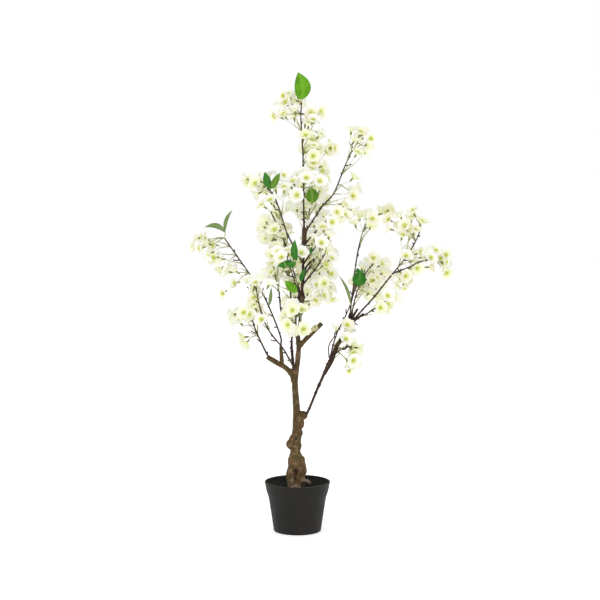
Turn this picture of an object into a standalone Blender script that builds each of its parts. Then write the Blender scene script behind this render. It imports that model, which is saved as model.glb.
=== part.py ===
"""An artificial cherry blossom tree, 1.2 m tall, standing in a black plastic nursery pot.

The tree stands on z = 0, the flat underside of its pot, and its front faces -Y. A moulded trunk
rises out of the fill of the pot. Wire stems leave it, bare at first, and then carry sprays of double
blossom on long stalks. A stem is one branch: its bare stretch is a bough, and the rest, fused with
its blossom and leaves, is a mass. A mass keeps to its own rooms of the crown, and there to what the
limbs and the masses grown before it leave free. Sizes are in millimetres, and MM turns them to metres.
"""
import math
import random
from dataclasses import dataclass

import bmesh
import bpy
from mathutils import Matrix, Vector

MM = 0.001
GAP = 0.3                 # clearance between pieces that touch
MERGE = 1e-6              # places closer than this are one
JOINT = 2.5               # least distance from a cut in a limb to its next section
SOLVERS = ("EXACT", "MANIFOLD")

POT_HEIGHT = 132
RIM_RADIUS = 84
LIP_HEIGHT = 5
LIP_WIDTH = 3.5
COLLAR_HEIGHT = 33
COLLAR_FOOT_RADIUS = 77
BODY_TOP_RADIUS = 73.5
BASE_RADIUS = 60
BASE_ROUNDING = 4
WALL = 2.2
FLOOR = 3
POT_STEPS = 32

FILL_HEIGHT = 120

TRUNK_FOOT = FILL_HEIGHT + GAP
TRUNK_STEP = 12
TRUNK_SIDES = 12
BOUGH_STEP = 28
BOUGH_SIDES = 6
THICK_WIDTH = 7           # a bough at least this wide has rounder sections, closer together
THICK_STEP = 20
THICK_SIDES = 8
STEM_STEP = 34
STEM_SIDES = 4
STALK_SIDES = 3

BLOSSOM_RADIUS = 21
BLOSSOM_DEPTH = 22
BLOSSOM_HEART = 13        # from the calyx to the blossom's middle
BLOSSOM_THROAT = 17       # from the calyx to the middle of the open side
PETALS = 5
CALYX_WIDTH = 4
STALK_LENGTH = (28, 62)
STALK_WIDTH = 2.2
STALK_SPACING = 3         # between the roots of one spray's stalks, along the stem
SPUR_LENGTH = (9, 22)     # from the stem to the point that a spray fans out from
SPRAY_SPACING = 12        # along the stem
SPRAY_TRIES = 60
SPRAY_MOST = 5
LEAN = (0.6, 1.4)         # angle of a spray from its stem, in radians
SPREAD = (0.2, 1.15)      # angle of a stalk from its spray's middle
NOD = 0.35                # greatest angle of a blossom from its stalk
PIERCED = -2              # room that a blossom shares with its own stem
ROOM_SHARE = 0.55         # how much of a blossom's radius stays inside its room

LEAF_WIDTH = 0.58         # as a share of the leaf's length
LEAF_WIDEST = 0.45        # where it is widest, as a share of its length
LEAF_THICKNESS = 1.2
LEAF_SIDES = 8
LEAF_PINCH = 0.6          # how much narrower the tip is than the foot
LEAF_STALK = 7
LEAF_RIB = 0.3            # share of the leaf that its stalk runs on into
LEAF_RIB_SHIFT = 0.2      # how far that end lies off the leaf's middle

GOLDEN_ANGLE = math.radians(137.5)

BARK = (0.13, 0.105, 0.07)
PETAL = (0.92, 0.91, 0.82)
POT_BLACK = (0.03, 0.03, 0.03)
FILL_BROWN = (0.03, 0.022, 0.016)


@dataclass(frozen=True)
class Knuckle:
    """A swelling on the trunk's side, with its height, its heading in degrees, its size and its spread."""

    height: float
    heading: float
    size: float
    spread: float


@dataclass(frozen=True)
class Room:
    """An ellipsoid of the crown, from its centre and its half sizes across, deep and high."""

    x: float
    y: float
    z: float
    across: float
    deep: float
    high: float

    def holds(self, place, margin):
        """Whether a place lies inside, a margin from the edge."""
        across = (place.x - self.x) / (self.across - margin)
        deep = (place.y - self.y) / (self.deep - margin)
        high = (place.z - self.z) / (self.high - margin)
        return across**2 + deep**2 + high**2 < 1


@dataclass(frozen=True)
class Leaf:
    """A leaf at a share of its stem: where it points, its length and the heading of its upper side."""

    share: float
    heading: float
    pitch: float
    length: float
    faces: float = -90


@dataclass(frozen=True)
class Branch:
    """A limb from inside its parent through knots of x, y, z and width, bare for a share of its length."""

    name: str
    parent: str
    knots: tuple
    bare: float = 1.0
    rooms: tuple = ()
    seed: int = 1
    leaves: tuple = ()


KNUCKLES = (
    Knuckle(124, 10, 9, 9), Knuckle(122, 200, 6, 10), Knuckle(150, 150, 5, 13), Knuckle(158, -20, 4, 14),
    Knuckle(184, -70, 4, 12), Knuckle(178, 100, 5, 14), Knuckle(230, 180, 12, 9), Knuckle(226, -40, 4, 8),
    Knuckle(252, 60, 4, 9), Knuckle(301, 10, 4, 7),
)

BRANCHES = (
    Branch("trunk", "", (
        (-4, 0, 106, 50), (-4, 0, 130, 48), (-3, 0, 165, 47), (-3, 0, 190, 43), (-5, 0, 211, 27),
        (-4, 1, 236, 27), (-1, 1, 262, 26), (-1, 0, 308, 21), (-4, 0, 355, 17), (-6, 0, 392, 16),
        (-2, 0, 424, 13.5), (3, 0, 478, 13), (2, 0, 515, 12),
    )),
    Branch("left", "trunk", (
        (-6, 0, 402, 13), (-22, 2, 424, 13), (-37, 4, 436, 12.5), (-56, 7, 446, 12), (-79, 12, 460, 10.5),
    )),
    Branch("cut", "trunk", ((3, 1, 486, 12), (20, 4, 505, 12), (42, 8, 527, 12), (64, 12, 548, 11.5))),
    Branch("crown", "trunk", (
        (2, 0, 504, 7.5), (7, 0, 560, 7.5), (11, 0, 600, 8), (11, 0, 616, 14), (12, 0, 632, 8),
        (15, 0, 700, 6.5), (18, 0, 776, 5.5),
    )),
    Branch("right", "trunk", (
        (0, 0, 292, 6), (24, -2, 311, 6), (53, -5, 379, 7), (84, -8, 449, 8.5), (112, -8, 506, 7.5),
        (133, -6, 541, 8), (140, -5, 553, 13),
    )),
    Branch("centre", "trunk", (
        (-7, 3, 404, 7.5), (-12, 12, 450, 7.5), (-15, 20, 487, 6.5), (-14, 28, 515, 4.2), (-13, 36, 545, 4),
        (-19, 48, 629, 3.6), (-27, 60, 702, 3), (-36, 66, 765, 3),
    ), bare=0.5, rooms=(Room(-25, 55, 700, 50, 50, 110),), seed=9),
    Branch("left_outer", "left", (
        (-38, 4, 437, 9), (-41, 3, 465, 8.6), (-43, 0, 492, 7), (-43, -2, 512, 4.6), (-61, -8, 563, 4),
        (-87, -14, 623, 4), (-113, -18, 665, 3.6), (-150, -20, 718, 3.2), (-188, -20, 773, 3),
    ), bare=0.55, rooms=(Room(-236, -20, 750, 48, 50, 57), Room(-195, -15, 677, 52, 50, 57)), seed=22,
        leaves=(Leaf(1.0, 150, 25, 52, 90), Leaf(1.0, 20, 70, 50, 0))),
    Branch("low_left", "left", (
        (-74, 11, 457, 5), (-91, 16, 489, 4.5), (-113, 22, 539, 4), (-121, 26, 579, 3.4), (-128, 30, 642, 3),
    ), bare=0.3, rooms=(Room(-143, 28, 562, 68, 50, 52), Room(-143, 25, 495, 34, 30, 36)), seed=45),
    Branch("left_front", "trunk", (
        (-4, -2, 424, 4.5), (-18, -20, 452, 4.2), (-37, -45, 489, 4), (-72, -88, 540, 3.6),
        (-92, -122, 592, 3.2), (-104, -148, 655, 3),
    ), bare=0.4, rooms=(Room(-98, -115, 622, 58, 65, 78),), seed=122),
    Branch("centre_left", "trunk", (
        (2, 2, 506, 4.5), (-12, 10, 532, 4.2), (-31, 13, 560, 4), (-43, 15, 582, 4), (-48, 14, 632, 3.6),
        (-59, 8, 684, 3.2), (-71, 0, 725, 3),
    ), bare=0.5, rooms=(Room(-58, 5, 710, 50, 45, 62),), seed=23, leaves=(Leaf(0.15, -60, -75, 46),)),
    Branch("low_centre", "trunk", (
        (2, -1, 500, 4.5), (0, -32, 522, 4), (-3, -80, 552, 3.4), (-3, -120, 590, 3),
    ), bare=0.2, rooms=(Room(-3, -100, 578, 42, 65, 56),), seed=92),
    Branch("back_low", "trunk", (
        (2, 2, 462, 5), (0, 44, 508, 4.5), (-5, 100, 552, 3.6), (-10, 148, 610, 3),
    ), bare=0.4, rooms=(Room(-14, 130, 600, 64, 72, 69),), seed=43, leaves=(Leaf(0.5, 60, 40, 50),)),
    Branch("mid_left", "crown", (
        (11, 1, 618, 4.5), (-4, 12, 665, 4), (-16, 24, 706, 3.8), (-27, 32, 742, 3.6), (-48, 46, 793, 3.2),
        (-72, 60, 842, 3),
    ), bare=0.4, rooms=(Room(-61, 55, 793, 54, 58, 68),), seed=108),
    Branch("upper_left", "crown", (
        (15, 0, 706, 4.4), (-6, -14, 745, 4), (-28, -28, 790, 3.8), (-42, -36, 836, 3.4), (-58, -43, 878, 3),
        (-82, -50, 914, 3),
    ), bare=0.5, rooms=(Room(-85, -45, 902, 74, 50, 54),), seed=94,
        leaves=(Leaf(0.7, 165, 55, 40), Leaf(0.7, 15, 55, 44), Leaf(0.3, 80, 20, 44))),
    Branch("centre_front", "crown", (
        (11, -1, 612, 4.4), (0, -34, 640, 3.8), (-14, -74, 688, 3.2), (-26, -108, 732, 3),
    ), bare=0.3, rooms=(Room(-14, -95, 716, 51, 60, 61),), seed=113, leaves=(
        Leaf(0.95, 80, 82, 52), Leaf(0.75, 175, 8, 46), Leaf(0.5, 20, 50, 40), Leaf(0.25, 155, 40, 42))),
    Branch("centre_right", "crown", (
        (13, 0, 650, 4.4), (30, -22, 672, 4), (51, -48, 702, 3.4), (71, -66, 736, 3),
    ), bare=0.0, rooms=(Room(61, -45, 765, 50, 52, 76),), seed=68),
    Branch("centre_low", "crown", (
        (11, 1, 606, 4.4), (38, 8, 608, 4), (64, 14, 616, 3.4), (88, 20, 632, 3),
    ), bare=0.0, rooms=(Room(56, 5, 656, 57, 55, 62),), seed=92),
    Branch("inner_right", "crown", (
        (15, 1, 702, 4.4), (40, 22, 738, 4), (68, 42, 772, 3.4), (94, 60, 802, 3),
    ), bare=0.0, rooms=(Room(80, 50, 790, 52, 50, 60),), seed=33),
    Branch("back_centre", "crown", (
        (13, 2, 664, 4.4), (30, 45, 690, 4), (48, 96, 712, 3.4), (56, 144, 742, 3),
    ), bare=0.25, rooms=(Room(47, 125, 702, 60, 72, 85),), seed=30, leaves=(Leaf(0.6, 60, 30, 46, 90),)),
    Branch("back_left", "crown", (
        (10, 2, 618, 4.4), (-12, 48, 650, 4), (-38, 98, 690, 3.4), (-56, 138, 742, 3),
    ), bare=0.3, rooms=(Room(-65, 125, 730, 53, 70, 86),), seed=78, leaves=(Leaf(0.9, 110, 45, 50, 90),)),
    Branch("back_upper", "crown", (
        (17, 1, 740, 4.4), (22, 42, 775, 4), (30, 90, 820, 3.4), (34, 128, 876, 3),
    ), bare=0.25, rooms=(Room(28, 105, 857, 66, 70, 76),), seed=87, leaves=(Leaf(0.85, 80, 60, 50, 90),)),
    Branch("upper_right", "crown", (
        (18, 1, 766, 4.4), (24, 6, 790, 4.2), (42, 14, 820, 4), (68, 22, 857, 3.8), (96, 30, 889, 3.6),
        (121, 38, 950, 3.2), (139, 44, 990, 3), (155, 50, 1016, 3),
    ), bare=0.36, rooms=(Room(167, 45, 1030, 50, 48, 54), Room(137, 20, 892, 40, 48, 62)), seed=26),
    Branch("front_right", "crown", (
        (17, 0, 752, 4.2), (46, -28, 790, 3.8), (80, -52, 822, 3.2), (108, -70, 850, 3),
    ), bare=0.4, rooms=(Room(100, -60, 845, 50, 45, 48),), seed=96),
    Branch("leader", "crown", (
        (18, 0, 774, 4.6), (17, 0, 820, 4.4), (16, 0, 905, 4.2), (15, 0, 975, 3.8), (12, 0, 1035, 3.4),
        (9, 0, 1085, 3), (11, 0, 1121, 3),
    ), bare=0.25, rooms=(
        Room(3, 0, 1100, 72, 58, 64), Room(46, 0, 1000, 57, 52, 67), Room(22, 0, 903, 76, 56, 50),
    ), seed=28, leaves=(Leaf(1.0, 0, 88, 72), Leaf(0.03, 20, 65, 44))),
    Branch("right_tall", "right", (
        (138, -5, 551, 4.6), (139, 2, 585, 4.4), (141, 6, 611, 4.2), (145, 13, 632, 4), (152, 28, 697, 3.6),
        (164, 45, 758, 3.2), (180, 58, 811, 3),
    ), bare=0.7, rooms=(Room(185, 50, 832, 68, 52, 48),), seed=96),
    Branch("right_outer", "right", (
        (140, -5, 552, 4.6), (154, -7, 568, 4.4), (173, -9, 590, 4.2), (198, -12, 618, 4),
        (240, -18, 672, 3.8), (280, -24, 723, 3.4), (305, -28, 765, 3), (319, -30, 801, 3),
    ), bare=0.6, rooms=(Room(275, -25, 812, 62, 52, 60), Room(285, -22, 692, 80, 52, 66)), seed=29),
    Branch("right_tip", "right_outer", (
        (246, -19, 681, 4), (285, -36, 698, 3.6), (325, -44, 716, 3), (356, -44, 716, 3),
    ), bare=0.2, rooms=(Room(352, -40, 704, 70, 45, 46),), seed=76),
    Branch("right_mid", "right_tall", (
        (140, 5, 604, 4), (152, 14, 640, 3.8), (176, 20, 676, 3.2), (201, 24, 708, 3),
    ), bare=0.0, rooms=(Room(198, 22, 692, 48, 48, 62),), seed=50, leaves=(Leaf(0.3, 80, 50, 40),)),
    Branch("right_front", "right", (
        (141, -6, 551, 4.4), (160, -42, 570, 4), (190, -92, 592, 3.2), (220, -132, 622, 3),
    ), bare=0.25, rooms=(Room(230, -108, 622, 66, 62, 46),), seed=125),
    Branch("right_back", "right", (
        (139, -4, 551, 4.4), (146, 40, 585, 4), (160, 90, 630, 3.4), (180, 132, 676, 3),
    ), bare=0.3, rooms=(Room(222, 120, 656, 84, 68, 69),), seed=52, leaves=(Leaf(0.7, 100, 40, 48, 90),)),
    Branch("right_inner", "right", (
        (84, -9, 449, 4), (91, -20, 487, 3.8), (104, -27, 530, 3.4), (122, -30, 566, 3), (137, -30, 600, 3),
    ), bare=0.15, rooms=(Room(104, -22, 545, 46, 42, 44),), seed=94, leaves=(Leaf(0.98, 170, 70, 54),)),
    Branch("right_low", "right", (
        (82, -8, 445, 4.4), (104, -18, 476, 3.8), (132, -30, 494, 3),
    ), bare=0.0, rooms=(Room(135, -30, 483, 42, 45, 60),), seed=75),
)


def smooth(knots, step):
    """Places and radii at even steps along a smooth curve that passes through the knots."""
    guides = [Vector((x, y, z, width / 2)) for x, y, z, width in knots]
    guides.insert(0, 2 * guides[0] - guides[1])
    guides.append(2 * guides[-1] - guides[-2])
    samples = []
    for first, start, end, last in zip(guides, guides[1:], guides[2:], guides[3:]):
        count = max(1, round((end - start).xyz.length / step))
        for index in range(count):
            t = index / count
            bend = 2 * first - 5 * start + 4 * end - last
            twist = 3 * start - first - 3 * end + last
            samples.append(0.5 * (2 * start + (end - first) * t + bend * t**2 + twist * t**3))
    samples.append(guides[-2])
    return samples


def halves(samples, share):
    """The samples before and after a share of a route's length, with a gap between the two."""
    lengths = [0.0]
    for start, end in zip(samples, samples[1:]):
        lengths.append(lengths[-1] + (end - start).xyz.length)
    place = share * lengths[-1]
    index = next(i for i, length in enumerate(lengths) if length >= place) - 1
    start, end = samples[index], samples[index + 1]
    forward = (end - start) / (end - start).xyz.length
    joint = start + forward * (place - lengths[index])
    lower = [sample for sample, length in zip(samples, lengths) if length < place - JOINT]
    upper = [sample for sample, length in zip(samples, lengths) if length > place + JOINT]
    return lower + [joint], [joint + forward * GAP] + upper


def is_thick(branch):
    """Whether a limb is wide enough for the rounder sections."""
    return branch.knots[0][3] >= THICK_WIDTH


def bough_route(branch):
    """The bare stretch of a branch, or all of it where it carries no blossom."""
    step = TRUNK_STEP if branch.name == "trunk" else THICK_STEP if is_thick(branch) else BOUGH_STEP
    samples = smooth(branch.knots, step)
    return halves(samples, branch.bare)[0] if branch.bare < 1 else samples


def stem_route(branch):
    """The stretch of a branch that carries its blossom."""
    samples = smooth(branch.knots, STEM_STEP)
    return halves(samples, branch.bare)[1] if branch.bare > 0 else samples


def along(route, share):
    """The place and the direction at a share of a route."""
    place = share * (len(route) - 1)
    index = min(int(place), len(route) - 2)
    start, end = route[index], route[index + 1]
    return start.lerp(end, place - index).xyz, (end - start).xyz.normalized()


def tilted(direction, angle, turn):
    """A direction leant over by an angle, to the side that a turn about it picks."""
    side = direction.orthogonal().normalized()
    side.rotate(Matrix.Rotation(turn, 3, direction))
    return (direction * math.cos(angle) + side * math.sin(angle)).normalized()


def pointing(heading, pitch):
    """The direction of a heading and a pitch in degrees."""
    heading, pitch = math.radians(heading), math.radians(pitch)
    level = math.cos(pitch)
    return Vector((level * math.cos(heading), level * math.sin(heading), math.sin(pitch)))


class Piece:
    """A convex piece for the clearance test: its corners, its axis and the thickness round the corners."""

    def __init__(self, corners, axis, thickness):
        self.corners = corners
        self.axis = axis
        self.thickness = thickness
        self.centre = sum(corners, Vector((0, 0, 0))) / len(corners)
        self.reach = max((corner - self.centre).length for corner in corners) + thickness


def rod(start, end, width):
    """The clearance piece of a straight stretch of stem."""
    return Piece([start, end], (end - start).normalized(), width / 2)


def rods(route):
    """The clearance pieces of a route."""
    return [rod(start.xyz, end.xyz, 2 * max(start.w, end.w)) for start, end in zip(route, route[1:])]


def parted(first, second, gap):
    """Whether two pieces lie a gap apart, as some direction between them shows."""
    between = second.centre - first.centre
    if between.length > first.reach + second.reach + gap:
        return True
    need = gap + first.thickness + second.thickness
    sideways = between - between.project(first.axis)
    directions = (between, sideways, between - between.project(second.axis), first.axis, second.axis,
                  first.axis.cross(second.axis), sideways - sideways.project(second.axis))
    for direction in directions:
        if direction.length < MERGE:
            continue
        unit = direction.normalized()
        one = [corner.dot(unit) for corner in first.corners]
        two = [corner.dot(unit) for corner in second.corners]
        if min(two) - max(one) > need or min(one) - max(two) > need:
            return True
    return False


def all_clear(pieces, others, gap):
    """Whether all the pieces keep a gap to all the others."""
    return all(parted(piece, other, gap) for piece in pieces for other in others)


class Blossom:
    """A blossom and its stalk: the stalk's foot, and the place and direction of the calyx."""

    def __init__(self, foot, calyx, facing):
        self.foot = foot
        self.calyx = calyx
        self.facing = facing
        rim = calyx + facing * BLOSSOM_DEPTH
        corners = [calyx]
        for index in range(PETALS):
            spoke = facing.orthogonal().normalized() * BLOSSOM_RADIUS
            spoke.rotate(Matrix.Rotation(index * math.tau / PETALS, 3, facing))
            corners.append(rim + spoke)
        self.head = Piece(corners, facing, 0)
        self.stalk = rod(foot, calyx, STALK_WIDTH)

    def heart(self):
        """The middle of the blossom."""
        return self.calyx + self.facing * BLOSSOM_HEART


class PlacedLeaf:
    """A leaf in its place: its matrix has its foot as origin, its tip along Y and its upper side along Z."""

    def __init__(self, foot, leaf):
        direction = pointing(leaf.heading, leaf.pitch)
        upper = pointing(leaf.faces, 0)
        upper = (upper - upper.project(direction)).normalized()
        self.length = leaf.length
        self.matrix = Matrix((direction.cross(upper), direction, upper)).transposed().to_4x4()
        self.matrix.translation = foot + direction * LEAF_STALK
        self.foot = foot
        half = leaf.length * LEAF_WIDTH / 2
        widest = LEAF_WIDEST * leaf.length
        outline = ((0, 0, 0), (half, widest, 0), (0, leaf.length, 0), (-half, widest, 0))
        self.blade = Piece([self.matrix @ Vector(corner) for corner in outline], upper, LEAF_THICKNESS)


class Mass:
    """What grows on one stem: the stem's route, its blossoms and its leaves."""

    def __init__(self, stem):
        self.stem = stem
        self.blossoms = []
        self.leaves = []

    def pieces(self):
        """The clearance pieces of the whole mass."""
        found = rods(self.stem)
        for blossom in self.blossoms:
            found += [blossom.head, blossom.stalk]
        return found + [leaf.blade for leaf in self.leaves]


def grow_spray(draw, branch, stem, share, outward, taken, kept, stalks):
    """The blossoms of one spray that fit in the rooms of the branch, each clear of what is taken."""
    place, forward = along(stem, share)
    fan = place + outward * draw.uniform(*SPUR_LENGTH)
    own = rods(stem)
    margin = ROOM_SHARE * BLOSSOM_RADIUS
    spray = []
    first_turn = draw.uniform(0, math.tau)
    for index in range(SPRAY_TRIES):
        direction = tilted(outward, draw.uniform(*SPREAD), first_turn + index * GOLDEN_ANGLE)
        calyx = fan + direction * draw.uniform(*STALK_LENGTH)
        foot = place - forward * STALK_SPACING * (len(spray) + 1)
        facing = tilted((calyx - foot).normalized(), draw.uniform(0, NOD), draw.uniform(0, math.tau))
        blossom = Blossom(foot, calyx, facing)
        if len(spray) == SPRAY_MOST or not any(room.holds(blossom.heart(), margin) for room in branch.rooms):
            continue
        if (all_clear([blossom.head, blossom.stalk], taken + kept, GAP)
                and all_clear([blossom.head], own, PIERCED)
                and all_clear([blossom.head], stalks, GAP)):
            spray.append(blossom)
            kept.append(blossom.head)
            stalks.append(blossom.stalk)
    return spray


def grow(branch, taken, seed):
    """The mass of one branch: the leaves and the sprays of blossom that find room on its stem."""
    draw = random.Random(seed)
    mass = Mass(stem_route(branch))
    kept, stalks = [], []
    for leaf in branch.leaves:
        placed = PlacedLeaf(along(mass.stem, leaf.share)[0], leaf)
        if all_clear([placed.blade], taken, GAP):
            mass.leaves.append(placed)
            kept.append(placed.blade)
    length = sum((end - start).xyz.length for start, end in zip(mass.stem, mass.stem[1:]))
    count = max(2, round(length / SPRAY_SPACING))
    turn = draw.uniform(0, math.tau)
    for index in range(count):
        share = (index + 1) / count
        lean = draw.uniform(*LEAN) if share < 1 else 0.0
        outward = tilted(along(mass.stem, share)[1], lean, turn + index * GOLDEN_ANGLE)
        mass.blossoms += grow_spray(draw, branch, mass.stem, share, outward, taken, kept, stalks)
    return mass


def all_boughs():
    """The clearance pieces of every bare limb, by the name of its branch."""
    return {branch.name: rods(bough_route(branch)) for branch in BRANCHES if branch.bare > 0}


def all_stems():
    """The clearance pieces of every stem that carries blossom, by the name of its branch."""
    return {branch.name: rods(stem_route(branch)) for branch in BRANCHES if branch.bare < 1}


def clear_scene():
    """Removes whatever the scene holds."""
    for obj in list(bpy.data.objects):
        bpy.data.objects.remove(obj)


def plastic(name, color, roughness):
    """A material of one colour."""
    material = bpy.data.materials.new(name)
    material.use_nodes = True
    shader = material.node_tree.nodes["Principled BSDF"]
    shader.inputs["Base Color"].default_value = (*color, 1)
    shader.inputs["Roughness"].default_value = roughness
    shader.inputs["Metallic"].default_value = 0
    material.diffuse_color = (*color, 1)
    return material


def placed(name, mesh, collection, material=None):
    """A new object with a mesh, in a collection."""
    obj = bpy.data.objects.new(name, mesh)
    collection.objects.link(obj)
    if material:
        mesh.materials.clear()
        mesh.materials.append(material)
    return obj


def turned(name, profile, steps, collection, material):
    """A body turned from a profile that runs up its inside and down its outside."""
    mesh = bpy.data.meshes.new(name)
    points = [(radius * MM, 0, height * MM) for radius, height in profile]
    mesh.from_pydata(points, [(index, index + 1) for index in range(len(points) - 1)], [])
    obj = placed(name, mesh, collection, material)
    screw = obj.modifiers.new("Turn", "SCREW")
    screw.axis = "Z"
    screw.steps = steps
    screw.render_steps = steps
    screw.use_merge_vertices = True
    screw.merge_threshold = MERGE
    screw.use_smooth_shade = False
    return obj


def between(low, high, height):
    """The radius at a height on the straight line between two points of a profile."""
    return low[0] + (high[0] - low[0]) * (height - low[1]) / (high[1] - low[1])


def build_pot(collection):
    """The pot, a thin tapered wall with a collar and a lip, and the fill that holds the trunk."""
    collar_foot = POT_HEIGHT - COLLAR_HEIGHT
    step = collar_foot + WALL
    rounding = []
    for degrees in (0, 30, 60, 90):
        angle = math.radians(degrees)
        radius = BASE_RADIUS - BASE_ROUNDING * (1 - math.cos(angle))
        rounding.append((radius, BASE_ROUNDING * (1 - math.sin(angle))))
    inner_low = (BASE_RADIUS - WALL, FLOOR)
    inner_body = (BODY_TOP_RADIUS - WALL, step)
    inner_collar = (COLLAR_FOOT_RADIUS - WALL, step)
    inner_rim = (RIM_RADIUS - LIP_WIDTH, POT_HEIGHT)
    lip_foot = POT_HEIGHT - LIP_HEIGHT
    pot = turned("pot", [
        (0, FLOOR), inner_low, inner_body, inner_collar, inner_rim,
        (RIM_RADIUS, POT_HEIGHT), (RIM_RADIUS, lip_foot), (RIM_RADIUS - LIP_WIDTH / 2, lip_foot),
        (COLLAR_FOOT_RADIUS, collar_foot), (BODY_TOP_RADIUS, collar_foot), *rounding, (0, 0),
    ], POT_STEPS, collection, plastic("pot black", POT_BLACK, 0.55))
    top = between(inner_collar, inner_rim, FILL_HEIGHT)
    fill = turned("pot_fill", [
        (0, FILL_HEIGHT), (top - GAP, FILL_HEIGHT), (inner_collar[0] - GAP, step + GAP),
        (inner_body[0] - GAP, step + GAP), (inner_low[0] - GAP, FLOOR + GAP), (0, FLOOR + GAP),
    ], POT_STEPS, collection, plastic("fill brown", FILL_BROWN, 0.95))
    return pot, fill


def mesh_of(obj):
    """The evaluated mesh of an object, which is then removed."""
    bpy.context.view_layer.update()
    graph = bpy.context.evaluated_depsgraph_get()
    mesh = bpy.data.meshes.new_from_object(obj.evaluated_get(graph))
    bpy.data.objects.remove(obj)
    return mesh


def swollen(place, axis):
    """A place on the trunk's side, moved out from the trunk's axis by the knuckles near it."""
    out = Vector((place.x - axis.x, place.y - axis.y, 0))
    if out.length < MERGE:
        return place
    swell = 0.0
    for knuckle in KNUCKLES:
        facing = max(0.0, out.normalized().dot(pointing(knuckle.heading, 0)))
        swell += knuckle.size * facing**2 * math.exp(-(((place.z - knuckle.height) / knuckle.spread) ** 2))
    return place + out.normalized() * swell


def axis_at(route, height):
    """The place of a rising route at a height."""
    for start, end in zip(route, route[1:]):
        if end.z >= height:
            return start.lerp(end, (height - start.z) / (end.z - start.z)).xyz
    return route[-1].xyz


def tube(name, route, sides, wider=0.0):
    """The mesh of a closed tube along a route, grown on all sides by some width."""
    forward = (route[1] - route[0]).xyz.normalized()
    onward = (route[-1] - route[-2]).xyz.normalized()
    curve = bpy.data.curves.new(name, "CURVE")
    curve.dimensions = "3D"
    curve.bevel_depth = MM
    curve.bevel_resolution = sides // 2 - 2
    curve.use_fill_caps = True
    spline = curve.splines.new("POLY")
    spline.points.add(len(route) - 1)
    for target, sample in zip(spline.points, route):
        target.co = (*(sample.xyz * MM), 1)
        target.radius = sample.w + wider
    for target, shift in ((spline.points[0], -forward), (spline.points[-1], onward)):
        target.co = (*(Vector(target.co[:3]) + shift * wider * MM), 1)
    guide = bpy.data.objects.new(name, curve)
    bpy.context.scene.collection.objects.link(guide)
    mesh = mesh_of(guide)
    bpy.data.curves.remove(curve)
    body = bmesh.new()
    body.from_mesh(mesh)
    bmesh.ops.remove_doubles(body, verts=body.verts, dist=MERGE)
    if name.startswith("trunk"):
        for vertex in body.verts:
            place = vertex.co / MM
            vertex.co = swollen(place, axis_at(route, place.z)) * MM
        edges = body.verts[:] + body.edges[:] + body.faces[:]
        cut = bmesh.ops.bisect_plane(body, geom=edges, plane_co=(0, 0, (TRUNK_FOOT - wider) * MM),
                                     plane_no=(0, 0, 1), clear_inner=True)
        rim = [part for part in cut["geom_cut"] if isinstance(part, bmesh.types.BMEdge)]
        bmesh.ops.contextual_create(body, geom=rim)
    bmesh.ops.recalc_face_normals(body, faces=body.faces)
    body.to_mesh(mesh)
    body.free()
    return mesh


def bodies(body):
    """The separate bodies of a bmesh, each a list of its vertices."""
    left = set(body.verts)
    found = []
    while left:
        queue = [left.pop()]
        group = list(queue)
        while queue:
            for edge in queue.pop().link_edges:
                for vertex in edge.verts:
                    if vertex in left:
                        left.remove(vertex)
                        queue.append(vertex)
                        group.append(vertex)
        found.append(group)
    return found


def keep_largest(mesh):
    """Drops loose scrap and sealed hollows from a mesh, and tells whether the body left is closed."""
    body = bmesh.new()
    body.from_mesh(mesh)
    bmesh.ops.remove_doubles(body, verts=body.verts, dist=MERGE)
    bmesh.ops.dissolve_degenerate(body, edges=body.edges, dist=MERGE)
    groups = sorted(bodies(body), key=len)
    for group in groups[:-1]:
        bmesh.ops.delete(body, geom=group, context="VERTS")
    bmesh.ops.dissolve_verts(body, verts=[vertex for vertex in body.verts if len(vertex.link_edges) == 2])
    bmesh.ops.triangulate(body, faces=[face for face in body.faces if len(face.verts) > 3])
    bmesh.ops.recalc_face_normals(body, faces=body.faces)
    closed = all(edge.is_manifold for edge in body.edges)
    body.to_mesh(mesh)
    body.free()
    return closed


def booleaned(obj, operation, others):
    """Cuts or joins an object with the objects of a collection, which are then removed."""
    modifier = obj.modifiers.new(operation.title(), "BOOLEAN")
    modifier.operation = operation
    modifier.operand_type = "COLLECTION"
    modifier.collection = others
    for solver in SOLVERS:
        modifier.solver = solver
        bpy.context.view_layer.update()
        graph = bpy.context.evaluated_depsgraph_get()
        mesh = bpy.data.meshes.new_from_object(obj.evaluated_get(graph))
        if keep_largest(mesh):
            break
    obj.modifiers.remove(modifier)
    obj.data = mesh
    for other in list(others.objects):
        bpy.data.objects.remove(other)


def cut_clear(obj, pieces, branch, limbs, cutters):
    """Cuts a limb or a stem a gap clear of its parent and of each earlier limb that it would touch."""
    for name, (route, sides, others) in limbs.items():
        touches = name != branch.name and not all_clear(pieces, others, GAP)
        if touches or name == branch.parent:
            cutter = placed(name + "_cutter", tube(name + "_cutter", route, sides, GAP), cutters)
            cutter.hide_render = True
            cutter.display_type = "WIRE"
    if cutters.objects:
        booleaned(obj, "DIFFERENCE", cutters)


def cone(start, end, widths, collection):
    """A thin three-sided cone between two places."""
    body = bmesh.new()
    length = (end - start).length
    bmesh.ops.create_cone(body, cap_ends=True, segments=STALK_SIDES, radius1=widths[0] / 2 * MM,
                          radius2=widths[1] / 2 * MM, depth=length * MM)
    mesh = bpy.data.meshes.new("stalk")
    body.to_mesh(mesh)
    body.free()
    obj = placed("stalk", mesh, collection)
    turn = (end - start).to_track_quat("Z", "Y").to_matrix().to_4x4()
    obj.matrix_world = Matrix.Translation((start + end) / 2 * MM) @ turn


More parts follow.
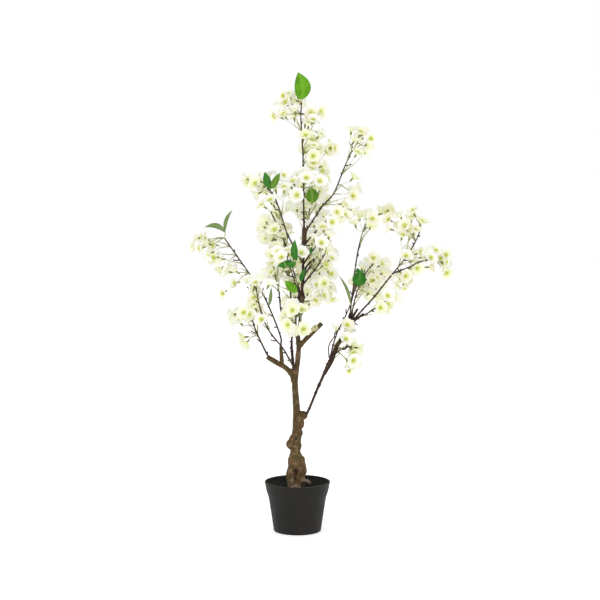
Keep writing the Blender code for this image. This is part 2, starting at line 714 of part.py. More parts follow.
def ring(body, centre, direction, radius, sides, capped=False):
    """A ring of edges in a bmesh, round a centre and square to a direction, capped with a fan if asked."""
    turn = direction.to_track_quat("Z", "Y").to_matrix().to_4x4()
    before = set(body.edges)
    made = bmesh.ops.create_circle(body, cap_ends=capped, cap_tris=capped, segments=sides,
                                   radius=radius * MM, matrix=Matrix.Translation(centre * MM) @ turn)
    edges = [edge for edge in body.edges if edge not in before and len(edge.link_faces) < 2]
    return made["verts"], edges


def blossom_mesh(bloom):
    """The mesh of one blossom: a stalk that opens at the calyx into a cup with a corner a petal."""
    body = bmesh.new()
    forward = (bloom.calyx - bloom.foot).normalized()
    _, foot = ring(body, bloom.foot, forward, STALK_WIDTH / 2, STALK_SIDES)
    _, calyx = ring(body, bloom.calyx, bloom.facing, CALYX_WIDTH / 2, STALK_SIDES)
    front = bloom.calyx + bloom.facing * BLOSSOM_DEPTH
    petals, rim = ring(body, front, bloom.facing, BLOSSOM_RADIUS, PETALS, True)
    heart = min(petals, key=lambda vertex: (vertex.co - front * MM).length)
    heart.co = (bloom.calyx + bloom.facing * BLOSSOM_THROAT) * MM
    bmesh.ops.bridge_loops(body, edges=foot + calyx)
    bmesh.ops.bridge_loops(body, edges=calyx + rim)
    bmesh.ops.contextual_create(body, geom=foot)
    bmesh.ops.recalc_face_normals(body, faces=body.faces)
    mesh = bpy.data.meshes.new("blossom")
    body.to_mesh(mesh)
    body.free()
    return mesh


def leaf_mesh(length):
    """The mesh of one leaf, from its foot at the origin to its tip along +Y."""
    body = bmesh.new()
    bmesh.ops.create_uvsphere(body, u_segments=LEAF_SIDES, v_segments=2, radius=1)
    for vertex in body.verts:
        x, y, z = vertex.co
        along_leaf = (y + 1) / 2
        half = length * LEAF_WIDTH / 2 * (1 - LEAF_PINCH * max(0.0, along_leaf - 0.5))
        vertex.co = Vector((x * half, length * along_leaf, z * LEAF_THICKNESS / 2)) * MM
    bmesh.ops.recalc_face_normals(body, faces=body.faces)
    mesh = bpy.data.meshes.new("leaf")
    body.to_mesh(mesh)
    body.free()
    return mesh


def build_mass(stem, mass, pieces):
    """Joins the blossoms with their stalks and the leaves of a mass to its stem."""
    for bloom in mass.blossoms:
        placed("blossom", blossom_mesh(bloom), pieces)
    for leaf in mass.leaves:
        blade = placed("blade", leaf_mesh(leaf.length), pieces)
        blade.matrix_world = Matrix.Translation(leaf.matrix.translation * MM) @ leaf.matrix.to_3x3().to_4x4()
        rib = leaf.matrix @ Vector((LEAF_RIB_SHIFT, LEAF_RIB * leaf.length, LEAF_RIB_SHIFT))
        cone(leaf.foot, rib, (STALK_WIDTH, STALK_WIDTH), pieces)
    booleaned(stem, "UNION", pieces)


def new_collection(name):
    """A new collection in the scene."""
    collection = bpy.data.collections.new(name)
    bpy.context.scene.collection.children.link(collection)
    return collection


def sides_of(branch):
    """How many sides a branch's bough has."""
    return TRUNK_SIDES if branch.name == "trunk" else THICK_SIDES if is_thick(branch) else BOUGH_SIDES


def main():
    """Builds the pot, then every bare limb, then every mass on its own stem."""
    clear_scene()
    tree = new_collection("cherry blossom tree")
    cutters = new_collection("cutters")
    pieces = new_collection("pieces")
    build_pot(tree)
    bark = plastic("bark", BARK, 0.8)
    limbs = {}
    for branch in BRANCHES:
        if branch.bare == 0:
            continue
        route, sides = bough_route(branch), sides_of(branch)
        name = branch.name if branch.name == "trunk" else branch.name + "_bough"
        limb = placed(name, tube(name, route, sides), tree, bark.copy())
        cut_clear(limb, rods(route), branch, limbs, cutters)
        limbs[branch.name] = (route, sides, rods(route))
    taken = [piece for _, _, others in limbs.values() for piece in others]
    stems = all_stems()
    for branch in BRANCHES:
        if branch.bare == 1:
            continue
        others = [piece for name, found in stems.items() if name != branch.name for piece in found]
        mass = grow(branch, taken + others, branch.seed)
        taken += mass.pieces()
        name = branch.name + "_blossom"
        stem = placed(name, tube(name, mass.stem, STEM_SIDES), tree, plastic(name, PETAL, 0.7))
        cut_clear(stem, rods(mass.stem), branch, limbs, cutters)
        limbs[branch.name + "_stem"] = (mass.stem, STEM_SIDES, rods(mass.stem))
        build_mass(stem, mass, pieces)
    bpy.data.collections.remove(pieces)


if __name__ == "__main__":
    main()
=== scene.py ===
"""An artificial cherry blossom tree in a black plastic pot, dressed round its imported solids.

The pot, the trunk and the boughs keep the places and sizes of the solids. The crown is grown again on the
same branches, by the rule that grew the solids, and carried on to more sprays and finer things: buds, curved
stalks, calyxes, petals, hearts and stamens. What grows is worked out in millimetres, and MM turns it to
metres. The front of the tree faces -Y.
"""
from __future__ import annotations

import logging
import math
import random
from collections.abc import Callable, Iterator, Sequence
from contextlib import contextmanager
from dataclasses import dataclass, field
from enum import Enum
from functools import cache

import bmesh
import bpy
import numpy as np
from mathutils import Euler, Matrix, Vector, noise


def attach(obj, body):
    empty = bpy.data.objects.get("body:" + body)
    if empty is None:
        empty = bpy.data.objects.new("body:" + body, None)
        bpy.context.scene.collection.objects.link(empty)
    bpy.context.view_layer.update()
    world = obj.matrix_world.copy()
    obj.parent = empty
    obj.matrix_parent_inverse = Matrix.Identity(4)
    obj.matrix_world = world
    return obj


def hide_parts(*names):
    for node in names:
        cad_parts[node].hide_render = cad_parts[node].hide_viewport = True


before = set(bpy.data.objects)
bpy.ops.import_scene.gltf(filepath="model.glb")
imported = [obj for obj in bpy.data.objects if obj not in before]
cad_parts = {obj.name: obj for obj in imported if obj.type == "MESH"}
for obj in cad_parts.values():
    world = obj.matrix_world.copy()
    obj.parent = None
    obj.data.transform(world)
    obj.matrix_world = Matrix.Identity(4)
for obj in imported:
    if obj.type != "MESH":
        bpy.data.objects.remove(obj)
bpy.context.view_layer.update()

Route = list[Vector]      # samples of x, y, z and radius along a limb, in millimetres
Point = tuple[float, float]
Color = tuple[float, float, float]

LOG = logging.getLogger("cherry")
MM = 0.001
GAP = 0.3                 # clearance between the limbs of the solids
JOINT = 2.5               # least distance from a cut in a limb to its next sample
TINY = 1e-6
GOLDEN_ANGLE = math.radians(137.5)
SWEEP = 0.38              # how far a stalk keeps to the directions of its ends, as a share of its length
CORNER = 1.4              # how far the corners of a petal's tip are drawn in, as a share of its notch
ROOT = "root"             # the one body of the part


@dataclass(frozen=True)
class Knuckle:
    """A swelling on the trunk's side, with its height, its heading in degrees, its size and its spread."""

    height: float
    heading: float
    size: float
    spread: float


@dataclass(frozen=True)
class Room:
    """An ellipsoid of the crown, from its centre and its half sizes across, deep and high."""

    x: float
    y: float
    z: float
    across: float
    deep: float
    high: float

    def centre(self) -> Vector:
        """The middle of the ellipsoid."""
        return Vector((self.x, self.y, self.z))

    def sizes(self) -> tuple[float, float, float]:
        """Its half sizes."""
        return self.across, self.deep, self.high

    def holds(self, place: Vector, margin: float) -> bool:
        """Whether a place lies inside the ellipsoid.

        Args:
            place: The place.
            margin: How far inside it has to lie.

        Returns:
            True if it does.
        """
        sides = zip(place, (self.x, self.y, self.z), self.sizes())
        return sum(((at - middle) / (size - margin)) ** 2 for at, middle, size in sides) < 1

    def is_near(self, solid: Solid) -> bool:
        """Whether a clearance piece may reach into the ellipsoid.

        Args:
            solid: The piece.

        Returns:
            True if it may.
        """
        reach = solid.reach + RULE.blossom_radius
        away = solid.centre - self.centre()
        return all(abs(way) < size + reach for way, size in zip(away, self.sizes()))


@dataclass(frozen=True)
class Leaf:
    """A leaf at a share of its stem: where it points, its length and the heading of its upper side."""

    share: float
    heading: float
    pitch: float
    length: float
    faces: float = -90


@dataclass(frozen=True)
class Branch:
    """A limb from inside its parent through knots of x, y, z and width, bare for a share of its length.

    Its blossom grows in its rooms, and each of its tufts, small rooms inside those, gets one more spray.
    """

    name: str
    knots: tuple
    bare: float = 1.0
    rooms: tuple = ()
    seed: int = 1
    leaves: tuple = ()
    tufts: tuple = ()


KNUCKLES = (
    Knuckle(124, 10, 3, 9), Knuckle(122, 200, 1, 10), Knuckle(150, 150, 5, 13), Knuckle(158, -20, 4, 14),
    Knuckle(184, -70, 4, 12), Knuckle(178, 100, 5, 14), Knuckle(230, 180, 4, 9), Knuckle(226, -40, 4, 8),
    Knuckle(252, 60, 4, 9), Knuckle(301, 10, 4, 7),
)

BRANCHES = (
    Branch("trunk", (
        (-4, 0, 106, 40), (-4, 0, 128, 45), (-3, 0, 165, 47), (-3, 0, 190, 43), (-5, 0, 211, 27),
        (-4, 1, 236, 27), (-1, 1, 262, 26), (-1, 0, 308, 21), (-4, 0, 355, 17), (-6, 0, 392, 16),
        (-2, 0, 424, 13.5), (3, 0, 478, 13), (2, 0, 515, 12),
    )),
    Branch("left", (
        (-6, 0, 402, 13), (-22, 2, 424, 13), (-37, 4, 436, 12.5), (-56, 7, 446, 12), (-79, 12, 460, 10.5),
    )),
    Branch("cut", ((3, 1, 486, 12), (20, 4, 505, 12), (42, 8, 527, 12), (64, 12, 548, 11.5))),
    Branch("crown", (
        (2, 0, 504, 7.5), (7, 0, 560, 7.5), (11, 0, 600, 8), (11, 0, 616, 14), (12, 0, 632, 8),
        (15, 0, 700, 6.5), (18, 0, 776, 5.5),
    )),
    Branch("right", (
        (0, 0, 292, 6), (24, -2, 311, 6), (53, -5, 379, 7), (84, -8, 449, 8.5), (112, -8, 506, 7.5),
        (133, -6, 541, 8), (140, -5, 553, 13),
    )),
    Branch("centre", (
        (-7, 3, 404, 7.5), (-12, 12, 450, 7.5), (-15, 20, 487, 6.5), (-14, 28, 515, 4.2), (-13, 36, 545, 4),
        (-19, 48, 629, 3.6), (-27, 60, 702, 3), (-36, 66, 765, 3),
    ), bare=0.5, rooms=(Room(-25, 55, 700, 50, 50, 110),), seed=9),
    Branch("left_outer", (
        (-38, 4, 437, 9), (-41, 3, 465, 8.6), (-43, 0, 492, 7), (-43, -2, 512, 4.6), (-61, -8, 563, 4),
        (-87, -14, 623, 4), (-113, -18, 665, 3.6), (-150, -20, 718, 3.2), (-188, -20, 773, 3),
    ), bare=0.55, rooms=(Room(-236, -20, 750, 48, 50, 57), Room(-195, -15, 677, 52, 50, 57)), seed=22,
        tufts=(
            Room(-184, -18, 634, 13, 18, 9), Room(-255, -20, 762, 12, 18, 20),
            Room(-264, -24, 748, 8, 14, 12), Room(-172, -16, 664, 14, 16, 10),
        ),
        leaves=(Leaf(1.0, 150, 25, 52, 90), Leaf(1.0, 20, 70, 50, 0))),
    Branch("low_left", (
        (-74, 11, 457, 5), (-91, 16, 489, 4.5), (-113, 22, 539, 4), (-121, 26, 579, 3.4), (-128, 30, 642, 3),
    ), bare=0.3, rooms=(Room(-143, 28, 562, 68, 50, 52), Room(-143, 25, 495, 34, 30, 36)), seed=45,
        tufts=(
            Room(-158, 25, 566, 14, 20, 17), Room(-145, 25, 500, 12, 14, 13), Room(-171, 25, 566, 6, 14, 8),
        )),
    Branch("left_front", (
        (-4, -2, 424, 4.5), (-18, -20, 452, 4.2), (-37, -45, 489, 4), (-72, -88, 540, 3.6),
        (-92, -122, 592, 3.2), (-104, -148, 655, 3),
    ), bare=0.4, rooms=(Room(-98, -115, 622, 58, 65, 78),), seed=122),
    Branch("centre_left", (
        (2, 2, 506, 4.5), (-12, 10, 532, 4.2), (-31, 13, 560, 4), (-43, 15, 582, 4), (-48, 14, 632, 3.6),
        (-59, 8, 684, 3.2), (-71, 0, 725, 3),
    ), bare=0.5, rooms=(Room(-58, 5, 710, 50, 45, 62),), seed=23, leaves=(Leaf(0.15, -60, -75, 46),)),
    Branch("low_centre", (
        (2, -1, 500, 4.5), (0, -32, 522, 4), (-3, -80, 552, 3.4), (-3, -120, 590, 3),
    ), bare=0.2, rooms=(Room(-3, -100, 578, 42, 65, 56),), seed=92),
    Branch("back_low", (
        (2, 2, 462, 5), (0, 44, 508, 4.5), (-5, 100, 552, 3.6), (-10, 148, 610, 3),
    ), bare=0.4, rooms=(Room(-14, 130, 600, 64, 72, 69),), seed=43, leaves=(Leaf(0.5, 60, 40, 50),)),
    Branch("mid_left", (
        (11, 1, 618, 4.5), (-4, 12, 665, 4), (-16, 24, 706, 3.8), (-27, 32, 742, 3.6), (-48, 46, 793, 3.2),
        (-72, 60, 842, 3),
    ), bare=0.4, rooms=(Room(-61, 55, 793, 54, 58, 68),), seed=108),
    Branch("upper_left", (
        (15, 0, 706, 4.4), (-6, -14, 745, 4), (-28, -28, 790, 3.8), (-42, -36, 836, 3.4), (-58, -43, 878, 3),
        (-82, -50, 914, 3),
    ), bare=0.5, rooms=(Room(-85, -45, 902, 74, 50, 54),), seed=94,
        tufts=(
            Room(-38, -45, 930, 16, 16, 11), Room(-138, -45, 919, 16, 18, 12),
            Room(-104, -45, 884, 13, 16, 11), Room(-105, -48, 926, 10, 14, 8),
        ),
        leaves=(Leaf(0.7, 165, 55, 40), Leaf(0.7, 15, 55, 44), Leaf(0.3, 80, 20, 44))),
    Branch("centre_front", (
        (11, -1, 612, 4.4), (0, -34, 640, 3.8), (-14, -74, 688, 3.2), (-26, -108, 732, 3),
    ), bare=0.3, rooms=(Room(-14, -95, 716, 51, 60, 61),), seed=113, leaves=(
        Leaf(0.95, 80, 82, 52), Leaf(0.75, 175, 8, 46), Leaf(0.5, 20, 50, 40), Leaf(0.25, 155, 40, 42))),
    Branch("centre_right", (
        (13, 0, 650, 4.4), (30, -22, 672, 4), (51, -48, 702, 3.4), (71, -66, 736, 3),
    ), bare=0.0, rooms=(Room(61, -45, 765, 50, 52, 76),), seed=68),
    Branch("centre_low", (
        (11, 1, 606, 4.4), (38, 8, 608, 4), (64, 14, 616, 3.4), (88, 20, 632, 3),
    ), bare=0.0, rooms=(Room(56, 5, 656, 57, 55, 62),), seed=92,
        tufts=(Room(88, 5, 622, 13, 16, 13), Room(56, 5, 616, 12, 14, 8))),
    Branch("inner_right", (
        (15, 1, 702, 4.4), (40, 22, 738, 4), (68, 42, 772, 3.4), (94, 60, 802, 3),
    ), bare=0.0, rooms=(Room(80, 50, 790, 52, 50, 60),), seed=33),
    Branch("back_centre", (
        (13, 2, 664, 4.4), (30, 45, 690, 4), (48, 96, 712, 3.4), (56, 144, 742, 3),
    ), bare=0.25, rooms=(Room(47, 125, 702, 60, 72, 85),), seed=30, leaves=(Leaf(0.6, 60, 30, 46, 90),)),
    Branch("back_left", (
        (10, 2, 618, 4.4), (-12, 48, 650, 4), (-38, 98, 690, 3.4), (-56, 138, 742, 3),
    ), bare=0.3, rooms=(Room(-65, 125, 730, 53, 70, 86),), seed=78, leaves=(Leaf(0.9, 110, 45, 50, 90),)),
    Branch("back_upper", (
        (17, 1, 740, 4.4), (22, 42, 775, 4), (30, 90, 820, 3.4), (34, 128, 876, 3),
    ), bare=0.25, rooms=(Room(28, 105, 857, 66, 70, 76),), seed=87, leaves=(Leaf(0.85, 80, 60, 50, 90),)),
    Branch("upper_right", (
        (18, 1, 766, 4.4), (24, 6, 790, 4.2), (42, 14, 820, 4), (68, 22, 857, 3.8), (96, 30, 889, 3.6),
        (121, 38, 950, 3.2), (139, 44, 990, 3), (155, 50, 1016, 3),
    ), bare=0.36, rooms=(Room(167, 45, 1030, 50, 48, 54), Room(137, 20, 892, 40, 48, 62)), seed=26,
        tufts=(Room(134, 42, 1056, 13, 16, 11), Room(184, 42, 1000, 15, 16, 13))),
    Branch("front_right", (
        (17, 0, 752, 4.2), (46, -28, 790, 3.8), (80, -52, 822, 3.2), (108, -70, 850, 3),
    ), bare=0.4, rooms=(Room(100, -60, 845, 50, 45, 48),), seed=96),
    Branch("leader", (
        (18, 0, 774, 4.6), (17, 0, 820, 4.4), (16, 0, 905, 4.2), (15, 0, 975, 3.8), (12, 0, 1035, 3.4),
        (9, 0, 1085, 3), (11, 0, 1121, 3),
    ), bare=0.25, rooms=(
        Room(3, 0, 1100, 72, 58, 64), Room(46, 0, 1000, 57, 52, 67), Room(22, 0, 903, 76, 56, 50),
    ), seed=28, tufts=(
        Room(-26, -5, 1140, 17, 18, 14), Room(-58, -5, 1092, 13, 16, 12), Room(66, -5, 1092, 13, 16, 11),
        Room(92, -5, 1005, 13, 16, 15), Room(40, -8, 1092, 15, 18, 12),
        Room(-10, 24, 1132, 16, 8, 20), Room(22, -20, 934, 26, 12, 14), Room(-30, -4, 930, 10, 14, 8),
        Room(80, 6, 925, 8, 14, 16),
    ), leaves=(Leaf(1.0, 0, 88, 72), Leaf(0.03, 20, 65, 44))),
    Branch("right_tall", (
        (138, -5, 551, 4.6), (139, 2, 585, 4.4), (141, 6, 611, 4.2), (145, 13, 632, 4), (152, 28, 697, 3.6),
        (164, 45, 758, 3.2), (180, 58, 811, 3),
    ), bare=0.7, rooms=(Room(185, 50, 832, 68, 52, 48),), seed=96,
        tufts=(Room(236, 40, 842, 18, 18, 11),)),
    Branch("right_outer", (
        (140, -5, 552, 4.6), (154, -7, 568, 4.4), (173, -9, 590, 4.2), (198, -12, 618, 4),
        (240, -18, 672, 3.8), (280, -24, 723, 3.4), (305, -28, 765, 3), (319, -30, 801, 3),
    ), bare=0.6, rooms=(Room(275, -25, 812, 62, 52, 60), Room(285, -22, 692, 80, 52, 66)), seed=29,
        tufts=(
            Room(278, -22, 665, 28, 24, 15), Room(246, -25, 797, 24, 22, 18), Room(306, -25, 806, 20, 20, 22),
            Room(270, -26, 646, 14, 16, 8), Room(272, -34, 796, 10, 12, 10),
            Room(292, -28, 842, 12, 14, 8), Room(312, -28, 692, 10, 14, 8), Room(334, -34, 756, 14, 12, 8),
        )),
    Branch("right_tip", (
        (246, -19, 681, 4), (285, -36, 698, 3.6), (325, -44, 716, 3), (356, -44, 716, 3),
    ), bare=0.2, rooms=(Room(352, -40, 704, 70, 45, 46),), seed=76,
        tufts=(
            Room(346, -40, 742, 16, 14, 10), Room(386, -42, 712, 10, 18, 18), Room(350, -28, 745, 12, 10, 5),
            Room(384, -40, 688, 7, 14, 8), Room(384, -42, 724, 8, 12, 8),
        )),
    Branch("right_mid", (
        (140, 5, 604, 4), (152, 14, 640, 3.8), (176, 20, 676, 3.2), (201, 24, 708, 3),
    ), bare=0.0, rooms=(Room(198, 22, 692, 48, 48, 62),), seed=50, leaves=(Leaf(0.3, 80, 50, 40),)),
    Branch("right_front", (
        (141, -6, 551, 4.4), (160, -42, 570, 4), (190, -92, 592, 3.2), (220, -132, 622, 3),
    ), bare=0.25, rooms=(Room(230, -108, 622, 66, 62, 46),), seed=125,
        tufts=(Room(247, -105, 626, 15, 18, 18),)),
    Branch("right_back", (
        (139, -4, 551, 4.4), (146, 40, 585, 4), (160, 90, 630, 3.4), (180, 132, 676, 3),
    ), bare=0.3, rooms=(Room(222, 120, 656, 84, 68, 69),), seed=52, leaves=(Leaf(0.7, 100, 40, 48, 90),)),
    Branch("right_inner", (
        (84, -9, 449, 4), (91, -20, 487, 3.8), (104, -27, 530, 3.4), (122, -30, 566, 3), (137, -30, 600, 3),
    ), bare=0.15, rooms=(Room(104, -22, 545, 46, 42, 44),), seed=94, leaves=(Leaf(0.98, 170, 70, 54),)),
    Branch("right_low", (
        (82, -8, 445, 4.4), (104, -18, 476, 3.8), (132, -30, 494, 3),
    ), bare=0.0, rooms=(Room(135, -30, 483, 42, 45, 60),), seed=75,
        tufts=(
            Room(150, -30, 488, 15, 18, 17), Room(140, -30, 440, 16, 18, 13), Room(152, -32, 440, 8, 12, 8),
        )),
)


@dataclass(frozen=True)
class Opening:
    """A gap in the crown as the camera sees it: an ellipse on the trunk's plane, by middle and half sizes.

    One with a depth is open only as far back as that, so that a stem shows in front of the blossom behind it.
    """

    x: float
    z: float
    across: float
    high: float
    depth: float = math.inf

    def holds(self, place: Vector, margin: float) -> bool:
        """Whether a place is seen in the opening or less than a margin from it.

        Args:
            place: The place.
            margin: The margin.

        Returns:
            True if it is.
        """
        share = CAMERA_DISTANCE / (CAMERA_DISTANCE + place.y)
        x = CAMERA_SHIFT + (place.x - CAMERA_SHIFT) * share
        z = CAMERA_HEIGHT + (place.z - CAMERA_HEIGHT) * share
        reach = math.hypot((x - self.x) / (self.across + margin), (z - self.z) / (self.high + margin))
        return place.y < self.depth and reach < 1


CAMERA_DISTANCE, CAMERA_HEIGHT, CAMERA_SHIFT = 4500.0, 1050.0, 6.9
OPENINGS = (
    Opening(-138, 783, 36, 60), Opening(-104, 718, 23, 33), Opening(-5, 805, 16, 23),
    Opening(132, 741, 26, 72), Opening(221, 764, 40, 36), Opening(348, 656, 40, 25),
    Opening(273, 603, 31, 40), Opening(99, 579, 26, 20), Opening(188, 473, 27, 49),
    Opening(-202, 558, 27, 39), Opening(-174, 484, 26, 27), Opening(-169, 604, 31, 13),
    Opening(-57, 596, 13, 24), Opening(-32, 630, 9, 22), Opening(-41, 1045, 35, 27),
    Opening(52, 1131, 30, 24), Opening(226, 1032, 27, 42), Opening(193, 884, 29, 27),
    Opening(123, 903, 14, 17), Opening(-141, 864, 38, 22), Opening(-97, 837, 27, 14),
    Opening(-12, 1000, 23, 39), Opening(413, 682, 22, 23), Opening(123, 1013, 19, 52),
    Opening(70, 509, 16, 33), Opening(-117, 506, 22, 39), Opening(-62, 519, 17, 39),
    Opening(-227, 656, 33, 39), Opening(-233, 793, 26, 14), Opening(357, 806, 39, 32),
    Opening(87, 973, 16, 17), Opening(205, 1068, 24, 22), Opening(35, 552, 18, 23),
    Opening(200, 622, 18, 18, -20), Opening(222, 649, 18, 18, -20), Opening(244, 676, 18, 18, -20),
    Opening(44, 822, 16, 16, 8), Opening(66, 852, 18, 18, 12), Opening(92, 884, 18, 18, 20),
    Opening(103, 488, 12, 16, -12), Opening(168, 1098, 22, 12), Opening(88, 1044, 10, 8),
    Opening(-140, 634, 10, 12), Opening(352, 686, 12, 8),
)


@dataclass(frozen=True)
class Rule:
    """The sizes by which limbs and blossom grow, in millimetres and radians: those of the solids."""

    trunk_step: float = 12
    thick_width: float = 7
    thick_step: float = 20
    bough_step: float = 28
    stem_step: float = 34
    blossom_radius: float = 21
    blossom_depth: float = 22
    blossom_heart: float = 13
    petals: int = 5
    stalk_length: Point = (28, 62)
    stalk_width: float = 2.2
    stalk_spacing: float = 3
    spur_length: Point = (9, 22)
    spray_spacing: float = 12
    spray_tries: int = 60
    spray_most: int = 5
    lean: Point = (0.6, 1.4)
    spread: Point = (0.2, 1.15)
    nod: float = 0.35
    pierced: float = -2
    room_share: float = 0.55
    leaf_width: float = 0.58
    leaf_widest: float = 0.45
    leaf_thickness: float = 1.2
    leaf_stalk: float = 7
    crowding: float = -5      # room that an added blossom shares with its neighbours
    added_most: int = 3       # blossoms in an added spray
    added_inset: float = 7    # how far its heart keeps inside its room
    added_margin: float = 15  # how far its heart keeps from the crown's openings
    tuft_tries: int = 80
    tuft_places: int = 20     # stretches of the stem among whose ends a tuft looks for the nearest
    tuft_spur: float = 0.35   # share of the way to its tuft that a spray stays one stalk
    tuft_crowding: float = -9


RULE = Rule()


def smooth(knots: Sequence[tuple], step: float) -> Route:
    """Samples at even steps along a smooth curve that passes through the knots.

    Args:
        knots: The places and widths that the curve passes through.
        step: The distance between samples.

    Returns:
        The samples, each with its radius.
    """
    guides = [Vector((x, y, z, width / 2)) for x, y, z, width in knots]
    guides.insert(0, 2 * guides[0] - guides[1])
    guides.append(2 * guides[-1] - guides[-2])
    samples = []
    for first, start, end, last in zip(guides, guides[1:], guides[2:], guides[3:]):
        count = max(1, round((end - start).xyz.length / step))
        for index in range(count):
            t = index / count
            bend = 2 * first - 5 * start + 4 * end - last
            twist = 3 * start - first - 3 * end + last
            samples.append(0.5 * (2 * start + (end - first) * t + bend * t**2 + twist * t**3))
    samples.append(guides[-2])
    return samples


def halves(samples: Route, share: float) -> tuple[Route, Route]:
    """Cuts a route in two at a share of its length, with a gap between the two.

    Args:
        samples: The whole route.
        share: Where it is cut.

    Returns:
        The samples before the cut and those after it.
    """
    lengths = [0.0]
    for start, end in zip(samples, samples[1:]):
        lengths.append(lengths[-1] + (end - start).xyz.length)
    place = share * lengths[-1]
    index = next(i for i, length in enumerate(lengths) if length >= place) - 1
    start, end = samples[index], samples[index + 1]
    forward = (end - start) / (end - start).xyz.length
    joint = start + forward * (place - lengths[index])
    lower = [sample for sample, length in zip(samples, lengths) if length < place - JOINT]
    upper = [sample for sample, length in zip(samples, lengths) if length > place + JOINT]
    return lower + [joint], [joint + forward * GAP] + upper


def bough_route(branch: Branch) -> Route:
    """The bare stretch of a branch, or all of it where it carries no blossom.

    Args:
        branch: The branch.

    Returns:
        Its samples.
    """
    is_thick = branch.knots[0][3] >= RULE.thick_width
    step = RULE.thick_step if is_thick else RULE.bough_step
    if branch.name == "trunk":
        step = RULE.trunk_step
    samples = smooth(branch.knots, step)
    return halves(samples, branch.bare)[0] if branch.bare < 1 else samples


def stem_route(branch: Branch) -> Route:
    """The stretch of a branch that carries its blossom.

    Args:
        branch: The branch.

    Returns:
        Its samples.
    """
    samples = smooth(branch.knots, RULE.stem_step)
    return halves(samples, branch.bare)[1] if branch.bare > 0 else samples


def length_of(route: Route) -> float:
    """The length of a route."""
    return sum((end - start).xyz.length for start, end in zip(route, route[1:]))


def along(route: Route, share: float) -> tuple[Vector, Vector]:
    """The place and the direction at a share of a route.

    Args:
        route: The route.
        share: From 0 at its start to 1 at its end.

    Returns:
        The place and the direction.
    """
    place = share * (len(route) - 1)
    index = min(int(place), len(route) - 2)
    start, end = route[index], route[index + 1]
    return start.lerp(end, place - index).xyz, (end - start).xyz.normalized()


def tilted(direction: Vector, angle: float, turn: float) -> Vector:
    """A direction leant over by an angle, to the side that a turn about it picks.

    Args:
        direction: The direction.
        angle: How far it leans, in radians.
        turn: The side that it leans to, in radians.

    Returns:
        The new direction.
    """
    side = direction.orthogonal().normalized()
    side.rotate(Matrix.Rotation(turn, 3, direction))
    return (direction * math.cos(angle) + side * math.sin(angle)).normalized()


def pointing(heading: float, pitch: float) -> Vector:
    """The direction of a heading and a pitch.

    Args:
        heading: The heading in degrees, from +X.
        pitch: How far it points upwards, in degrees.

    Returns:
        The direction.
    """
    heading, pitch = math.radians(heading), math.radians(pitch)
    level = math.cos(pitch)
    return Vector((level * math.cos(heading), level * math.sin(heading), math.sin(pitch)))


class Solid:
    """A convex piece for the clearance test: its corners, its axis and the thickness round the corners."""

    def __init__(self, corners: list[Vector], axis: Vector, thickness: float) -> None:
        """Works out the middle and the reach of a piece.

        Args:
            corners: Its corners.
            axis: Its axis.
            thickness: The thickness round the corners.
        """
        self.corners = corners
        self.axis = axis
        self.thickness = thickness
        self.centre = sum(corners, Vector((0, 0, 0))) / len(corners)
        self.reach = max((corner - self.centre).length for corner in corners) + thickness


def rod(start: Vector, end: Vector, width: float) -> Solid:
    """The clearance piece of a straight stretch of stem."""
    return Solid([start, end], (end - start).normalized(), width / 2)


def rods(route: Route) -> list[Solid]:
    """The clearance pieces of a route."""
    return [rod(start.xyz, end.xyz, 2 * max(start.w, end.w)) for start, end in zip(route, route[1:])]


def parted(first: Solid, second: Solid, gap: float) -> bool:
    """Whether two pieces lie a gap apart, as some direction between them shows.

    Args:
        first: One piece.
        second: The other piece.
        gap: The least distance between them, which may be below zero.

    Returns:
        True if they do.
    """
    between = second.centre - first.centre
    if between.length > first.reach + second.reach + gap:
        return True
    need = gap + first.thickness + second.thickness
    sideways = between - between.project(first.axis)
    directions = (between, sideways, between - between.project(second.axis), first.axis, second.axis,
                  first.axis.cross(second.axis), sideways - sideways.project(second.axis))
    for direction in directions:
        if direction.length < TINY:
            continue
        unit = direction.normalized()
        one = [corner.dot(unit) for corner in first.corners]
        two = [corner.dot(unit) for corner in second.corners]
        if min(two) - max(one) > need or min(one) - max(two) > need:
            return True
    return False


def all_clear(solids: list[Solid], others: list[Solid], gap: float) -> bool:
    """Whether all the pieces keep a gap to all the others."""
    return all(parted(solid, other, gap) for solid in solids for other in others)


class Blossom:
    """A blossom of the rule: the place and direction of its calyx, and the foot of its stalk."""

    def __init__(self, foot: Vector, calyx: Vector, facing: Vector) -> None:
        """Works out the clearance pieces of a blossom and its stalk.

        Args:
            foot: The foot of its stalk.
            calyx: The place of its calyx.
            facing: Where it faces.
        """
        self.foot = foot
        self.calyx = calyx
        self.facing = facing
        rim = calyx + facing * RULE.blossom_depth
        corners = [calyx]
        for index in range(RULE.petals):
            spoke = facing.orthogonal().normalized() * RULE.blossom_radius
            spoke.rotate(Matrix.Rotation(index * math.tau / RULE.petals, 3, facing))
            corners.append(rim + spoke)
        self.head = Solid(corners, facing, 0)
        self.stalk = rod(foot, calyx, RULE.stalk_width)

    def heart(self) -> Vector:
        """The middle of the blossom."""
        return self.calyx + self.facing * RULE.blossom_heart


@dataclass
class Spray:
    """An umbel: where it leaves its stem, the point it fans out from, and its blossoms."""

    place: Vector
    fan: Vector
    blossoms: list[Blossom] = field(default_factory=list)


def leaf_matrix(foot: Vector, direction: Vector, heading: float) -> Matrix:
    """The matrix that sets a leaf in its place, from its foot along Y with its upper side along Z.

    Args:
        foot: The place of its foot.
        direction: Where its tip points.
        heading: The heading of its upper side in degrees.

    Returns:
        The matrix.
    """
    upper = pointing(heading, 0)
    upper = (upper - upper.project(direction)).normalized()
    matrix = Matrix((direction.cross(upper), direction, upper)).transposed().to_4x4()
    matrix.translation = foot
    return matrix


